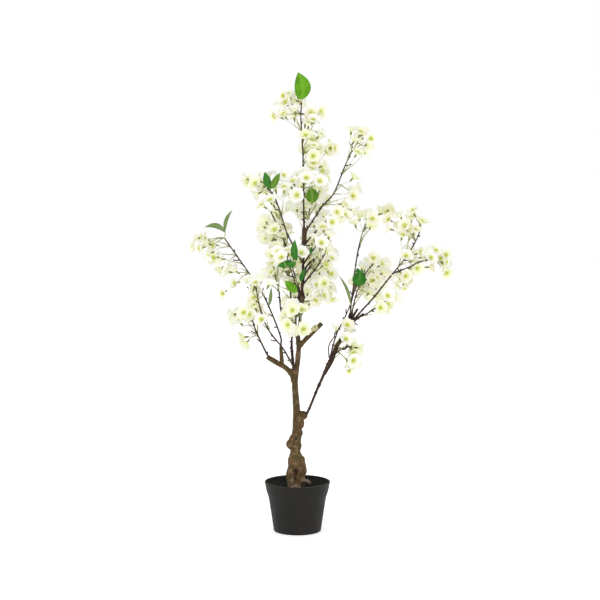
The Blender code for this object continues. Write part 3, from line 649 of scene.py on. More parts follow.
class PlacedLeaf:
    """A leaf in its place, with its matrix, its length and its clearance piece."""

    def __init__(self, foot: Vector, leaf: Leaf) -> None:
        """Works out the matrix and the clearance piece of a leaf.

        Args:
            foot: The place on the stem that it grows from.
            leaf: The leaf.
        """
        direction = pointing(leaf.heading, leaf.pitch)
        self.length = leaf.length
        self.matrix = leaf_matrix(foot + direction * RULE.leaf_stalk, direction, leaf.faces)
        half = leaf.length * RULE.leaf_width / 2
        widest = RULE.leaf_widest * leaf.length
        outline = ((0, 0, 0), (half, widest, 0), (0, leaf.length, 0), (-half, widest, 0))
        corners = [self.matrix @ Vector(corner) for corner in outline]
        self.blade = Solid(corners, self.matrix.col[2].xyz, RULE.leaf_thickness)


@dataclass
class Mass:
    """What grows on one stem: the stem's route, its sprays and its leaves."""

    stem: Route
    sprays: list[Spray] = field(default_factory=list)
    leaves: list[PlacedLeaf] = field(default_factory=list)

    def solids(self) -> list[Solid]:
        """The clearance pieces of the whole mass.

        Returns:
            Those of its stem, its blossoms and its leaves.
        """
        found = rods(self.stem)
        for spray in self.sprays:
            for blossom in spray.blossoms:
                found += [blossom.head, blossom.stalk]
        return found + [leaf.blade for leaf in self.leaves]


@dataclass
class Crown:
    """The crown: the masses that grow on the branches, each in the rooms of its branch."""

    masses: dict[str, Mass] = field(default_factory=dict)

    def grow(self) -> None:
        """Grows every mass by the rule of the solids, and then adds sprays between them."""
        taken = [solid for branch in BRANCHES if branch.bare > 0 for solid in rods(bough_route(branch))]
        stems = {branch.name: rods(stem_route(branch)) for branch in BRANCHES if branch.bare < 1}
        bearing = [branch for branch in BRANCHES if branch.bare < 1]
        for branch in bearing:
            others = [solid for name, found in stems.items() if name != branch.name for solid in found]
            self.masses[branch.name] = self.mass_of(branch, taken + others)
            taken += self.masses[branch.name].solids()
        for mass in self.masses.values():
            self.clear(mass.sprays, 0)
        for branch in bearing:
            taken += self.add_sprays(branch, taken)
        for branch in bearing:
            taken += self.add_tufts(branch, taken)

    @staticmethod
    def clear(sprays: list[Spray], margin: float) -> None:
        """Takes the blossoms that stand in the crown's openings out of some sprays.

        Args:
            sprays: The sprays.
            margin: How far the blossoms' hearts keep from the openings.
        """
        for spray in sprays:
            spray.blossoms = [blossom for blossom in spray.blossoms
                              if not any(opening.holds(blossom.heart(), margin) for opening in OPENINGS)]

    def mass_of(self, branch: Branch, taken: list[Solid]) -> Mass:
        """Grows the leaves and the sprays of blossom that find room on the stem of a branch.

        Args:
            branch: The branch, with the seed of its draws.
            taken: What the mass keeps clear of.

        Returns:
            The mass.
        """
        draw = random.Random(branch.seed)
        mass = Mass(stem_route(branch))
        kept: list[Solid] = []
        stalks: list[Solid] = []
        for leaf in branch.leaves:
            placed = PlacedLeaf(along(mass.stem, leaf.share)[0], leaf)
            if all_clear([placed.blade], taken, GAP):
                mass.leaves.append(placed)
                kept.append(placed.blade)
        count = max(2, round(length_of(mass.stem) / RULE.spray_spacing))
        turn = draw.uniform(0, math.tau)
        for index in range(count):
            share = (index + 1) / count
            lean = draw.uniform(*RULE.lean) if share < 1 else 0.0
            outward = tilted(along(mass.stem, share)[1], lean, turn + index * GOLDEN_ANGLE)
            mass.sprays.append(self.spray(draw, branch, mass.stem, share, outward, taken, kept, stalks))
        return mass

    def spray(self, draw: random.Random, branch: Branch, stem: Route, share: float, outward: Vector,
              taken: list[Solid], kept: list[Solid], stalks: list[Solid]) -> Spray:
        """Grows the blossoms of one spray that fit in the rooms of the branch, each clear of what is taken.

        Args:
            draw: The draws of the mass.
            branch: The branch that the spray grows on.
            stem: The route of its stem.
            share: Where on the stem the spray leaves.
            outward: Where the spray points.
            taken: What other limbs and masses take.
            kept: What the blossoms and leaves of this mass take, which grows.
            stalks: The stalks of this mass, which grow too.

        Returns:
            The spray, which may be empty.
        """
        place, forward = along(stem, share)
        spray = Spray(place, place + outward * draw.uniform(*RULE.spur_length))
        own = rods(stem)
        margin = RULE.room_share * RULE.blossom_radius
        first_turn = draw.uniform(0, math.tau)
        for index in range(RULE.spray_tries):
            direction = tilted(outward, draw.uniform(*RULE.spread), first_turn + index * GOLDEN_ANGLE)
            calyx = spray.fan + direction * draw.uniform(*RULE.stalk_length)
            foot = place - forward * RULE.stalk_spacing * (len(spray.blossoms) + 1)
            nod, way = draw.uniform(0, RULE.nod), draw.uniform(0, math.tau)
            blossom = Blossom(foot, calyx, tilted((calyx - foot).normalized(), nod, way))
            is_full = len(spray.blossoms) == RULE.spray_most
            if is_full or not any(room.holds(blossom.heart(), margin) for room in branch.rooms):
                continue
            if (all_clear([blossom.head, blossom.stalk], taken + kept, GAP)
                    and all_clear([blossom.head], own, RULE.pierced)
                    and all_clear([blossom.head], stalks, GAP)):
                spray.blossoms.append(blossom)
                kept.append(blossom.head)
                stalks.append(blossom.stalk)
        return spray

    def add_sprays(self, branch: Branch, taken: list[Solid]) -> list[Solid]:
        """Adds sprays to a mass, whose blossoms may crowd their neighbours a little.

        Args:
            branch: The branch whose mass gets them.
            taken: What is grown so far.

        Returns:
            The clearance pieces of what is added.
        """
        draw = random.Random(branch.name)
        mass = self.masses[branch.name]
        near = [solid for solid in taken if any(room.is_near(solid) for room in branch.rooms)]
        count = len(mass.sprays)
        turn = draw.uniform(0, math.tau)
        added: list[Solid] = []
        for index in range(count):
            place, forward = along(mass.stem, (index + 0.5) / count)
            outward = tilted(forward, draw.uniform(*RULE.lean), turn + index * GOLDEN_ANGLE)
            spray = Spray(place, place + outward * draw.uniform(*RULE.spur_length))
            for _ in range(RULE.spray_tries):
                direction = tilted(outward, draw.uniform(*RULE.spread), draw.uniform(0, math.tau))
                calyx = spray.fan + direction * draw.uniform(*RULE.stalk_length)
                blossom = Blossom(place, calyx, direction)
                if len(spray.blossoms) == RULE.added_most:
                    break
                if not any(room.holds(blossom.heart(), RULE.added_inset) for room in branch.rooms):
                    continue
                if all_clear([blossom.head], near + added, RULE.crowding):
                    spray.blossoms.append(blossom)
                    added.append(blossom.head)
            self.clear([spray], RULE.added_margin)
            mass.sprays.append(spray)
        return added

    def add_tufts(self, branch: Branch, taken: list[Solid]) -> list[Solid]:
        """Adds a spray for each of a branch's tufts, from the place on its stem that is nearest to the tuft.

        Args:
            branch: The branch.
            taken: What is grown so far.

        Returns:
            The clearance pieces of what is added.
        """
        draw = random.Random(branch.seed)
        stem = self.masses[branch.name].stem
        added: list[Solid] = []
        for tuft in branch.tufts:
            near = [solid for solid in taken if tuft.is_near(solid)]
            middle = tuft.centre()
            shares = (index / RULE.tuft_places for index in range(RULE.tuft_places + 1))
            share = min(shares, key=lambda at: (along(stem, at)[0] - middle).length)
            place = along(stem, share)[0]
            spray = Spray(place, place + (middle - place) * RULE.tuft_spur)
            for _ in range(RULE.tuft_tries):
                heart = middle + Vector(draw.uniform(-1, 1) * size for size in tuft.sizes())
                direction = (heart - spray.fan).normalized()
                blossom = Blossom(place, heart - direction * RULE.blossom_heart, direction)
                if not (tuft.holds(heart, 0) and any(room.holds(heart, 0) for room in branch.rooms)):
                    continue
                if all_clear([blossom.head], near + added, RULE.tuft_crowding):
                    spray.blossoms.append(blossom)
                    added.append(blossom.head)
            self.masses[branch.name].sprays.append(spray)
        return added

    def sprays(self) -> Iterator[tuple[Mass, Spray]]:
        """Every spray that bears blossom, with its mass.

        Yields:
            The mass and the spray.
        """
        for mass in self.masses.values():
            for spray in mass.sprays:
                if spray.blossoms:
                    yield mass, spray


def select(obj: bpy.types.Object) -> None:
    """Makes an object the active one, and the only one that is selected.

    Args:
        obj: The object.
    """
    bpy.ops.object.select_all(action="DESELECT")
    obj.select_set(True)
    bpy.context.view_layer.objects.active = obj


@contextmanager
def editing(obj: bpy.types.Object) -> Iterator[None]:
    """Puts one object in edit mode, with all of it selected, for as long as the block runs.

    Args:
        obj: The object to edit.

    Yields:
        Nothing.
    """
    select(obj)
    bpy.ops.object.mode_set(mode="EDIT")
    bpy.ops.mesh.select_mode(type="VERT")
    bpy.ops.mesh.select_all(action="SELECT")
    yield
    bpy.ops.object.mode_set(mode="OBJECT")


def pick(obj: bpy.types.Object, is_wanted: Callable[[Vector], bool]) -> None:
    """Selects the vertices of an object in edit mode by their place, and nothing else.

    Args:
        obj: The object.
        is_wanted: Tells of a place whether its vertex is selected.
    """
    body = bmesh.from_edit_mesh(obj.data)
    for vertex in body.verts:
        vertex.select = is_wanted(vertex.co)
    body.select_flush_mode()
    bmesh.update_edit_mesh(obj.data)


def apply_modifier(obj: bpy.types.Object, kind: str, **settings: object) -> None:
    """Adds a modifier to an object and applies it.

    Args:
        obj: The object.
        kind: The kind of modifier.
        settings: Its settings by name.
    """
    select(obj)
    modifier = obj.modifiers.new(kind.title(), kind)
    for name, value in settings.items():
        setattr(modifier, name, value)
    bpy.ops.object.modifier_apply(modifier=modifier.name)


@dataclass
class Shape:
    """A mesh as arrays: its points in millimetres, its faces, and a mark from -1 to 1 at each point."""

    points: np.ndarray
    faces: list[tuple[int, ...]]
    marks: np.ndarray

    @classmethod
    def of(cls, obj: bpy.types.Object) -> Shape:
        """Takes the shape of an object, which is then removed.

        Args:
            obj: The object, modelled in millimetres.

        Returns:
            Its shape, with all marks 0.
        """
        mesh = obj.data
        points = np.empty(len(mesh.vertices) * 3)
        mesh.vertices.foreach_get("co", points)
        faces = [tuple(face.vertices) for face in mesh.polygons]
        bpy.data.objects.remove(obj)
        bpy.data.meshes.remove(mesh)
        return cls(points.reshape(-1, 3), faces, np.zeros(len(points) // 3))

    def moved(self, matrix: Matrix) -> Shape:
        """A copy of the shape, moved by a matrix."""
        turn, shift = np.array(matrix.to_3x3()), np.array(matrix.translation)
        return Shape(self.points @ turn.T + shift, self.faces, self.marks)

    def obj(self, name: str, scale: float = 1.0) -> bpy.types.Object:
        """Makes an object of the shape.

        Args:
            name: The object's name.
            scale: The size of a millimetre in the object.

        Returns:
            The object.
        """
        mesh = bpy.data.meshes.new(name)
        mesh.from_pydata((self.points * scale).tolist(), [], self.faces)
        mesh.attributes.new("mark", "FLOAT", "POINT").data.foreach_set("value", self.marks)
        mesh.update()
        obj = bpy.data.objects.new(name, mesh)
        bpy.context.scene.collection.objects.link(obj)
        return obj

    def piece(self, name: str, finish: Finish, slot: Slot, nodes: Sequence[str],
              is_smooth: bool = True) -> bpy.types.Object:
        """Makes a finished piece of the part, which stands for nodes of the solids.

        Args:
            name: The piece's name.
            finish: Its finish.
            slot: The record's slot of its finish, which is not used.
            nodes: The nodes that it stands for.
            is_smooth: Whether its faces are shaded smooth.

        Returns:
            The piece.
        """
        obj = self.obj(name, MM)
        obj.data.polygons.foreach_set("use_smooth", [is_smooth] * len(self.faces))
        obj.data.materials.append(finish.material())
        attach(obj, ROOT)
        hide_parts(*nodes)
        triangles = sum(len(face) - 2 for face in self.faces)
        LOG.info("%s: %d triangles, stands for %d nodes", name, triangles, len(nodes))
        return obj


def joined(shapes: Sequence[Shape]) -> Shape:
    """Joins shapes into one.

    Args:
        shapes: The shapes, each in its place.

    Returns:
        The whole.
    """
    faces, start = [], 0
    for shape in shapes:
        faces += [tuple(corner + start for corner in face) for face in shape.faces]
        start += len(shape.points)
    points = np.concatenate([shape.points for shape in shapes])
    return Shape(points, faces, np.concatenate([shape.marks for shape in shapes]))


@cache
def straight_tube(rings: int, sides: int) -> Shape:
    """Models a closed straight tube of unit radius along Z, with a ring at each unit of height.

    Args:
        rings: How many rings it has.
        sides: How many sides each ring has.

    Returns:
        The tube.
    """
    bpy.ops.mesh.primitive_circle_add(vertices=sides, radius=1, fill_type="NGON")
    obj = bpy.context.object
    with editing(obj):
        for _ in range(rings - 1):
            bpy.ops.mesh.extrude_region_move(TRANSFORM_OT_translate={"value": (0, 0, 1)})
    return Shape.of(obj)


def sheet(across: int, width: float, breadths: Sequence[float], notch: float = 0.0) -> Shape:
    """Models a flat petal or leaf, one unit long, its foot at the origin.

    Args:
        across: How many faces it has across.
        width: Its width where its breadth is 1.
        breadths: Its breadth at each row of vertices.
        notch: How deep the notch in its tip is.

    Returns:
        The petal or leaf.
    """
    rows, near, inner, outer = len(breadths) - 1, 0.01, 0.1, 0.5
    bpy.ops.mesh.primitive_grid_add(x_subdivisions=across, y_subdivisions=rows, size=1)
    obj = bpy.context.object
    with editing(obj):
        bpy.ops.transform.resize(value=(width, 1, 1), center_override=(0, 0, 0))
        bpy.ops.transform.translate(value=(0, 0.5, 0))
        for row, breadth in enumerate(breadths):
            pick(obj, lambda place, row=row: abs(place.y - row / rows) < near)
            bpy.ops.transform.resize(value=(breadth, 1, 1), center_override=(0, 0, 0))
        pick(obj, lambda place: place.y > 1 - near and abs(place.x) < inner)
        bpy.ops.transform.translate(value=(0, -notch, 0))
        pick(obj, lambda place: place.y > 1 - near and abs(place.x) > outer)
        bpy.ops.transform.translate(value=(0, -CORNER * notch, 0))
    return Shape.of(obj)


def bent(route: Route, sides: int) -> Shape:
    """Bends a straight tube along a route, with a ring at each of its samples.

    Args:
        route: The samples, each with its radius.
        sides: How many sides the tube has.

    Returns:
        The bent tube.
    """
    blank = straight_tube(len(route), sides)
    ways = [(end - start).xyz.normalized() for start, end in zip(route, route[1:])]
    tangents = [ways[0]] + [(one + two).normalized() for one, two in zip(ways, ways[1:])] + [ways[-1]]
    side = tangents[0].orthogonal().normalized()
    across, upright = [], []
    for tangent in tangents:
        side = (side - side.project(tangent)).normalized()
        across.append(side)
        upright.append(tangent.cross(side))
    ring = np.rint(blank.points[:, 2]).astype(int)
    samples = np.array([tuple(sample) for sample in route])[ring]
    wide = blank.points[:, :1] * samples[:, 3:]
    high = blank.points[:, 1:2] * samples[:, 3:]
    points = samples[:, :3] + wide * np.array(across)[ring] + high * np.array(upright)[ring]
    return Shape(points, blank.faces, np.zeros(len(points)))


def arc(start: Vector, leaving: Vector, end: Vector, arriving: Vector, radii: Point, rings: int) -> Route:
    """A smooth route between two places that leaves and arrives in given directions.

    Args:
        start: Where it starts.
        leaving: Its direction there.
        end: Where it ends.
        arriving: Its direction there.
        radii: Its radius at the start and at the end.
        rings: How many samples it has.

    Returns:
        The samples.
    """
    reach = SWEEP * (end - start).length
    first, second = start + leaving * reach, end - arriving * reach
    samples = []
    for index in range(rings):
        t = index / (rings - 1)
        rest = 1 - t
        place = start * rest**3 + first * 3 * rest**2 * t + second * 3 * rest * t**2 + end * t**3
        samples.append(Vector((*place, radii[0] * rest + radii[1] * t)))
    return samples


def turned(profile: Sequence[Point], steps: int) -> Shape:
    """Models a closed body ring by ring from a profile of radius and height, flat at both its ends.

    Args:
        profile: The radius and height of each ring, from the underside round to the inside.
        steps: How many sides the rings have.

    Returns:
        The body.
    """
    radius, height = profile[0]
    bpy.ops.mesh.primitive_circle_add(vertices=steps, radius=radius, fill_type="NGON")
    obj = bpy.context.object
    with editing(obj):
        bpy.ops.transform.translate(value=(0, 0, height))
        for before, after in zip(profile, profile[1:]):
            rise = (0, 0, after[1] - before[1])
            bpy.ops.mesh.extrude_region_move(TRANSFORM_OT_translate={"value": rise})
            share = after[0] / before[0]
            bpy.ops.transform.resize(value=(share, share, 1), center_override=(0, 0, after[1]))
    return Shape.of(obj)


def placing(origin: Vector, upward: Vector, turn: float = 0.0) -> Matrix:
    """The matrix that sets a shape at a place with its Z axis in a direction, turned about that axis.

    Args:
        origin: The place.
        upward: Where its Z axis points.
        turn: The turn about it in radians.

    Returns:
        The matrix.
    """
    side = upward.orthogonal().normalized()
    matrix = Matrix((side, upward.cross(side), upward)).transposed().to_4x4()
    matrix = matrix @ Matrix.Rotation(turn, 4, "Z")
    matrix.translation = origin
    return matrix


class Slot(Enum):
    """The record's slots of finish."""

    POT = "pot"
    FILL = "fill"
    BARK = "bark"
    BLOSSOM = "blossom"


class Tint(Enum):
    """The tints of silk, each with its share of the sprays."""

    WHITE = 0.5
    CREAM = 0.25
    GREENISH = 0.2
    BEIGE = 0.05


class Green(Enum):
    """The greens of the leaves."""

    BRIGHT = "bright"
    DEEP = "deep"
    GRASS = "grass"
    OLIVE = "olive"


def feed(tree: bpy.types.NodeTree, node: bpy.types.Node, inputs: dict[str | int, object]) -> None:
    """Gives the inputs of a node what they need.

    Args:
        tree: The tree that the node is in.
        node: The node.
        inputs: A value, or the output of another node, for each input by name or number.
    """
    for name, value in inputs.items():
        if isinstance(value, bpy.types.NodeSocket):
            tree.links.new(value, node.inputs[name])
        else:
            node.inputs[name].default_value = value


def add_node(tree: bpy.types.NodeTree, kind: str, inputs: dict[str | int, object],
             **settings: object) -> bpy.types.Node:
    """Adds a shader node to a tree.

    Args:
        tree: The tree.
        kind: The kind of node.
        inputs: What its inputs get.
        settings: Its settings by name.

    Returns:
        The node.
    """
    node = tree.nodes.new("ShaderNode" + kind)
    for name, value in settings.items():
        setattr(node, name, value)
    feed(tree, node, inputs)
    return node


def group(name: str, given: dict[str, str],
          results: dict[str, str]) -> tuple[bpy.types.NodeTree, bpy.types.Node, bpy.types.Node]:
    """Starts a node group.

    Args:
        name: Its name.
        given: The kind of each of its inputs.
        results: The kind of each of its outputs.

    Returns:
        The group, with the node that has its inputs and the one that takes its outputs.
    """
    tree = bpy.data.node_groups.new(name, "ShaderNodeTree")
    for sockets, way in ((given, "INPUT"), (results, "OUTPUT")):
        for title, kind in sockets.items():
            tree.interface.new_socket(title, in_out=way, socket_type="NodeSocket" + kind)
    return tree, tree.nodes.new("NodeGroupInput"), tree.nodes.new("NodeGroupOutput")


@cache
def mottle() -> bpy.types.NodeTree:
    """Builds the group that lays soft patches of a second colour over a first one.

    Returns:
        The group, with the mixed colour and the mask of the patches as outputs.
    """
    tree, start, end = group("mottle", {
        "Vector": "Vector", "Scale": "Float", "Low": "Float", "High": "Float", "Base": "Color",
        "Patch": "Color",
    }, {"Color": "Color", "Mask": "Float"})
    given = start.outputs
    cloud = add_node(tree, "TexNoise", {"Vector": given["Vector"], "Scale": given["Scale"], "Detail": 4})
    mask = add_node(tree, "MapRange", {
        "Value": cloud.outputs["Fac"], "From Min": given["Low"], "From Max": given["High"],
    }).outputs["Result"]
    mix = add_node(tree, "Mix", {"Factor": mask, "A": given["Base"], "B": given["Patch"]}, data_type="RGBA")
    feed(tree, end, {"Color": mix.outputs["Result"], "Mask": mask})
    return tree


@cache
def grain() -> bpy.types.NodeTree:
    """Builds the group of a fine grain over a coarser one, stretched along Z.

    Returns:
        The group, with the height of the grain as output.
    """
    finer = 4.3
    tree, start, end = group("grain", {"Vector": "Vector", "Scale": "Float", "Stretch": "Float"},
                             {"Height": "Float"})
    given = start.outputs
    parts = add_node(tree, "SeparateXYZ", {"Vector": given["Vector"]}).outputs
    shrunk = add_node(tree, "Math", {0: parts["Z"], 1: given["Stretch"]}, operation="MULTIPLY")
    place = add_node(tree, "CombineXYZ", {"X": parts["X"], "Y": parts["Y"], "Z": shrunk.outputs["Value"]})
    scaled = add_node(tree, "Math", {0: given["Scale"], 1: finer}, operation="MULTIPLY")
    coarse, fine = (add_node(tree, "TexNoise", {"Vector": place.outputs["Vector"], "Scale": scale})
                    for scale in (given["Scale"], scaled.outputs["Value"]))
    total = add_node(tree, "Math", {0: coarse.outputs["Fac"], 1: fine.outputs["Fac"]}, operation="ADD")
    feed(tree, end, {"Height": total.outputs["Value"]})
    return tree


@dataclass(frozen=True)
class Patch:
    """Patches of a colour: their scale, and the limits of the noise between which they come in."""

    color: Color
    scale: float
    low: float
    high: float


@dataclass(frozen=True)
class Finish:
    """A finish: a base colour with patches, a colour where the mark is 1, one where it is -1, and a grain."""

    name: str
    base: Color
    patches: tuple[Patch, ...]
    roughness: Point
    grain_scale: float
    relief: float
    stretch: float = 1.0
    marked: Color | None = None
    pale: Color | None = None
    # light given off in the base colour; on the blossom and its stalks it is painted light
    glow: float = 0.0
    specular: float = 0.3

    def material(self) -> bpy.types.Material:
        """The finish's material, which is built once."""
        return bpy.data.materials.get(self.name) or self.build()

    def build(self) -> bpy.types.Material:
        """Builds the material from the shared groups.

        Returns:
            The material.
        """
        material = bpy.data.materials.new(self.name)
        material.use_nodes = True
        tree = material.node_tree
        place = add_node(tree, "TexCoord", {}).outputs["Object"]
        color, mask = (*self.base, 1), None
        for patch in self.patches:
            layer = add_node(tree, "Group", {
                "Vector": place, "Scale": patch.scale, "Low": patch.low, "High": patch.high, "Base": color,
                "Patch": (*patch.color, 1),
            }, node_tree=mottle())
            color, mask = layer.outputs["Color"], layer.outputs["Mask"]
        for tint, sign in ((self.marked, 1), (self.pale, -1)):
            if tint:
                mark = add_node(tree, "Attribute", {}, attribute_name="mark").outputs["Fac"]
                share = add_node(tree, "Math", {0: mark, 1: sign}, operation="MULTIPLY", use_clamp=True)
                color = add_node(tree, "Mix", {
                    "Factor": share.outputs["Value"], "A": color, "B": (*tint, 1),
                }, data_type="RGBA").outputs["Result"]
        gloss = add_node(tree, "MapRange", {
            "Value": mask, "To Min": self.roughness[0], "To Max": self.roughness[1],
        })
        texture = add_node(tree, "Group", {
            "Vector": place, "Scale": self.grain_scale, "Stretch": self.stretch,
        }, node_tree=grain())
        bump = add_node(tree, "Bump", {"Height": texture.outputs["Height"], "Distance": self.relief})
        feed(tree, tree.nodes["Principled BSDF"], {
            "Base Color": color, "Roughness": gloss.outputs["Result"], "Normal": bump.outputs["Normal"],
            "Specular IOR Level": self.specular, "Emission Color": (*self.base, 1),
            "Emission Strength": self.glow,
        })
        return material


def silk(name: str, base: Color, shade: Color, throat: Color, glow: float = 0.18) -> Finish:
    """A tint of silk, with the colour of its patches and the one at the foot of a petal; its glow is painted
    light.
    """
    return Finish("silk_" + name, base, (Patch(shade, 70, 0.48, 0.66),), (0.85, 0.95), 900, 0.0003,
                  marked=throat, glow=glow, specular=0.1)


def green(name: str, base: Color, patch: Color, rib: Color) -> Finish:
    """A green of the leaves, with the colour of its patches and the one along the midrib."""
    return Finish("leaf_" + name, base, (Patch(patch, 60, 0.45, 0.62),), (0.6, 0.7), 500, 0.0004,
                  marked=rib, specular=0.15)


# The pot's marked colour is painted shade inside the rim, and its pale one a painted highlight on the top of
# the lip.
POT_FINISH = Finish("pot_plastic", (0.0125, 0.0117, 0.0105), (Patch((0.020, 0.0175, 0.0150), 14, 0.45, 0.7),),
                    (0.55, 0.68), 900, 0.0002, marked=(0.004, 0.004, 0.0035), pale=(0.060, 0.062, 0.058),
                    specular=0.17)
FILL_FINISH = Finish("fill_earth", (0.008, 0.008, 0.007), (
    Patch((0.019, 0.019, 0.015), 110, 0.5, 0.60), Patch((0.002, 0.002, 0.001), 170, 0.55, 0.65),
    Patch((0.032, 0.030, 0.022), 300, 0.6, 0.72),
), (0.9, 1.0), 420, 0.002, specular=0.12)
CRUMB_FINISH = Finish("earth_crumb", (0.020, 0.022, 0.015), (Patch((0.050, 0.052, 0.038), 120, 0.5, 0.62),),
                      (0.85, 0.95), 500, 0.0005, specular=0.1)
WRAP_FINISH = Finish("torn_wrap", (0.80, 0.75, 0.50), (
    Patch((0.62, 0.57, 0.29), 160, 0.5, 0.6), Patch((0.17, 0.16, 0.04), 140, 0.60, 0.66),
), (0.8, 0.95), 500, 0.001, specular=0.15)
# Its marked colour is painted shade in cracks, hollows and dents, and its pale one the roots' crust and
# painted light on the lower trunk.
BARK_FINISH = Finish("trunk_bark", (0.122, 0.075, 0.029), (
    Patch((0.112, 0.089, 0.026), 24, 0.46, 0.60), Patch((0.158, 0.084, 0.036), 31, 0.54, 0.64),
    Patch((0.265, 0.168, 0.080), 85, 0.49, 0.64), Patch((0.045, 0.025, 0.010), 130, 0.59, 0.69),
    Patch((0.072, 0.044, 0.018), 380, 0.52, 0.68),
), (0.75, 0.9), 260, 0.0018, 0.4, marked=(0.030, 0.020, 0.012), pale=(0.300, 0.222, 0.170), specular=0.2)
# Its marked colour is painted shade in the collars' dips.
COLLAR_FINISH = Finish("collar_bark", (0.095, 0.055, 0.030), (
    Patch((0.17, 0.11, 0.06), 80, 0.5, 0.66), Patch((0.03, 0.018, 0.012), 160, 0.52, 0.64),
), (0.7, 0.85), 320, 0.0014, 0.5, marked=(0.02, 0.013, 0.01), specular=0.2)
BUD_FINISH = Finish("bud_brown", (0.050, 0.030, 0.022), (Patch((0.12, 0.09, 0.04), 90, 0.5, 0.62),),
                    (0.6, 0.75), 500, 0.0004, specular=0.2)
DARK_BARK_FINISH = Finish("bough_bark", (0.048, 0.027, 0.021), (
    Patch((0.090, 0.055, 0.036), 70, 0.5, 0.66), Patch((0.022, 0.013, 0.011), 110, 0.54, 0.66),
), (0.6, 0.75), 320, 0.0010, 0.4, specular=0.2)
STEM_FINISH = Finish("stem_bark", (0.048, 0.027, 0.024), (Patch((0.090, 0.052, 0.038), 90, 0.5, 0.64),),
                     (0.6, 0.75), 420, 0.0006, 0.4, specular=0.2)
# The glow of the stalks, the calyxes, the hearts and the stamens is painted light.
STALK_FINISH = Finish("stalk_green", (0.60, 0.64, 0.36), (Patch((0.44, 0.48, 0.21), 60, 0.46, 0.62),),
                      (0.6, 0.7), 600, 0.0003, marked=(0.25, 0.235, 0.085), glow=0.08, specular=0.15)
CALYX_FINISH = Finish("calyx_green", (0.27, 0.31, 0.085), (Patch((0.17, 0.16, 0.055), 80, 0.5, 0.64),),
                      (0.6, 0.7), 600, 0.0003, marked=(0.15, 0.14, 0.05), glow=0.04, specular=0.15)
HEART_FINISH = Finish("heart_green", (0.82, 0.85, 0.38), (Patch((0.74, 0.78, 0.24), 150, 0.45, 0.6),),
                      (0.8, 0.9), 800, 0.0003, marked=(0.60, 0.64, 0.085), glow=0.17, specular=0.1)
STAMEN_FINISH = Finish("stamen_yellow", (0.72, 0.70, 0.12), (Patch((0.66, 0.56, 0.09), 300, 0.5, 0.6),),
                       (0.6, 0.7), 900, 0.0002, glow=0.2)
FLOOR_FINISH = Finish("floor_white", (0.80, 0.80, 0.80), (Patch((0.82, 0.82, 0.82), 2, 0.4, 0.6),),
                      (0.9, 0.95), 40, 0.0002, glow=0.62)
SILK_FINISHES = {
    Tint.WHITE: silk("white", (0.875, 0.875, 0.845), (0.85, 0.855, 0.785), (0.83, 0.85, 0.40)),
    Tint.CREAM: silk("cream", (0.87, 0.86, 0.755), (0.835, 0.82, 0.67), (0.81, 0.83, 0.38)),
    Tint.GREENISH: silk("greenish", (0.86, 0.87, 0.725), (0.815, 0.835, 0.62), (0.76, 0.80, 0.31)),
    Tint.BEIGE: silk("beige", (0.88, 0.86, 0.74), (0.84, 0.81, 0.66), (0.76, 0.77, 0.33), 0.16),
}
FLOWER_FINISHES = {
    "hearts": HEART_FINISH, "stamens": STAMEN_FINISH, "calyxes": CALYX_FINISH, "stalks": STALK_FINISH,
}
LEAF_FINISHES = {
    Green.BRIGHT: green("bright", (0.141, 0.402, 0.013), (0.10, 0.29, 0.012), (0.20, 0.45, 0.03)),
    Green.DEEP: green("deep", (0.040, 0.205, 0.022), (0.024, 0.14, 0.018), (0.08, 0.26, 0.04)),
    Green.GRASS: green("grass", (0.085, 0.225, 0.016), (0.13, 0.27, 0.03), (0.20, 0.36, 0.06)),
    Green.OLIVE: green("olive", (0.155, 0.245, 0.075), (0.22, 0.30, 0.12), (0.28, 0.37, 0.15)),
}


def named(name: str) -> Branch:
    """The branch of a name."""
    return next(branch for branch in BRANCHES if branch.name == name)


BEARING = [branch.name + "_blossom" for branch in BRANCHES if branch.bare < 1]


def lumpy(place: Vector, lumps: Sequence[Point]) -> float:
    """The sum of noises at a place, each given by its spacing and its height."""
    return sum(size * noise.noise(place / scale) for scale, size in lumps)


def shifted(points: Sequence[Point], radius: float, height: float) -> list[Point]:
    """Points of a profile, moved out by a radius and up by a height."""
    return [(out + radius, up + height) for out, up in points]


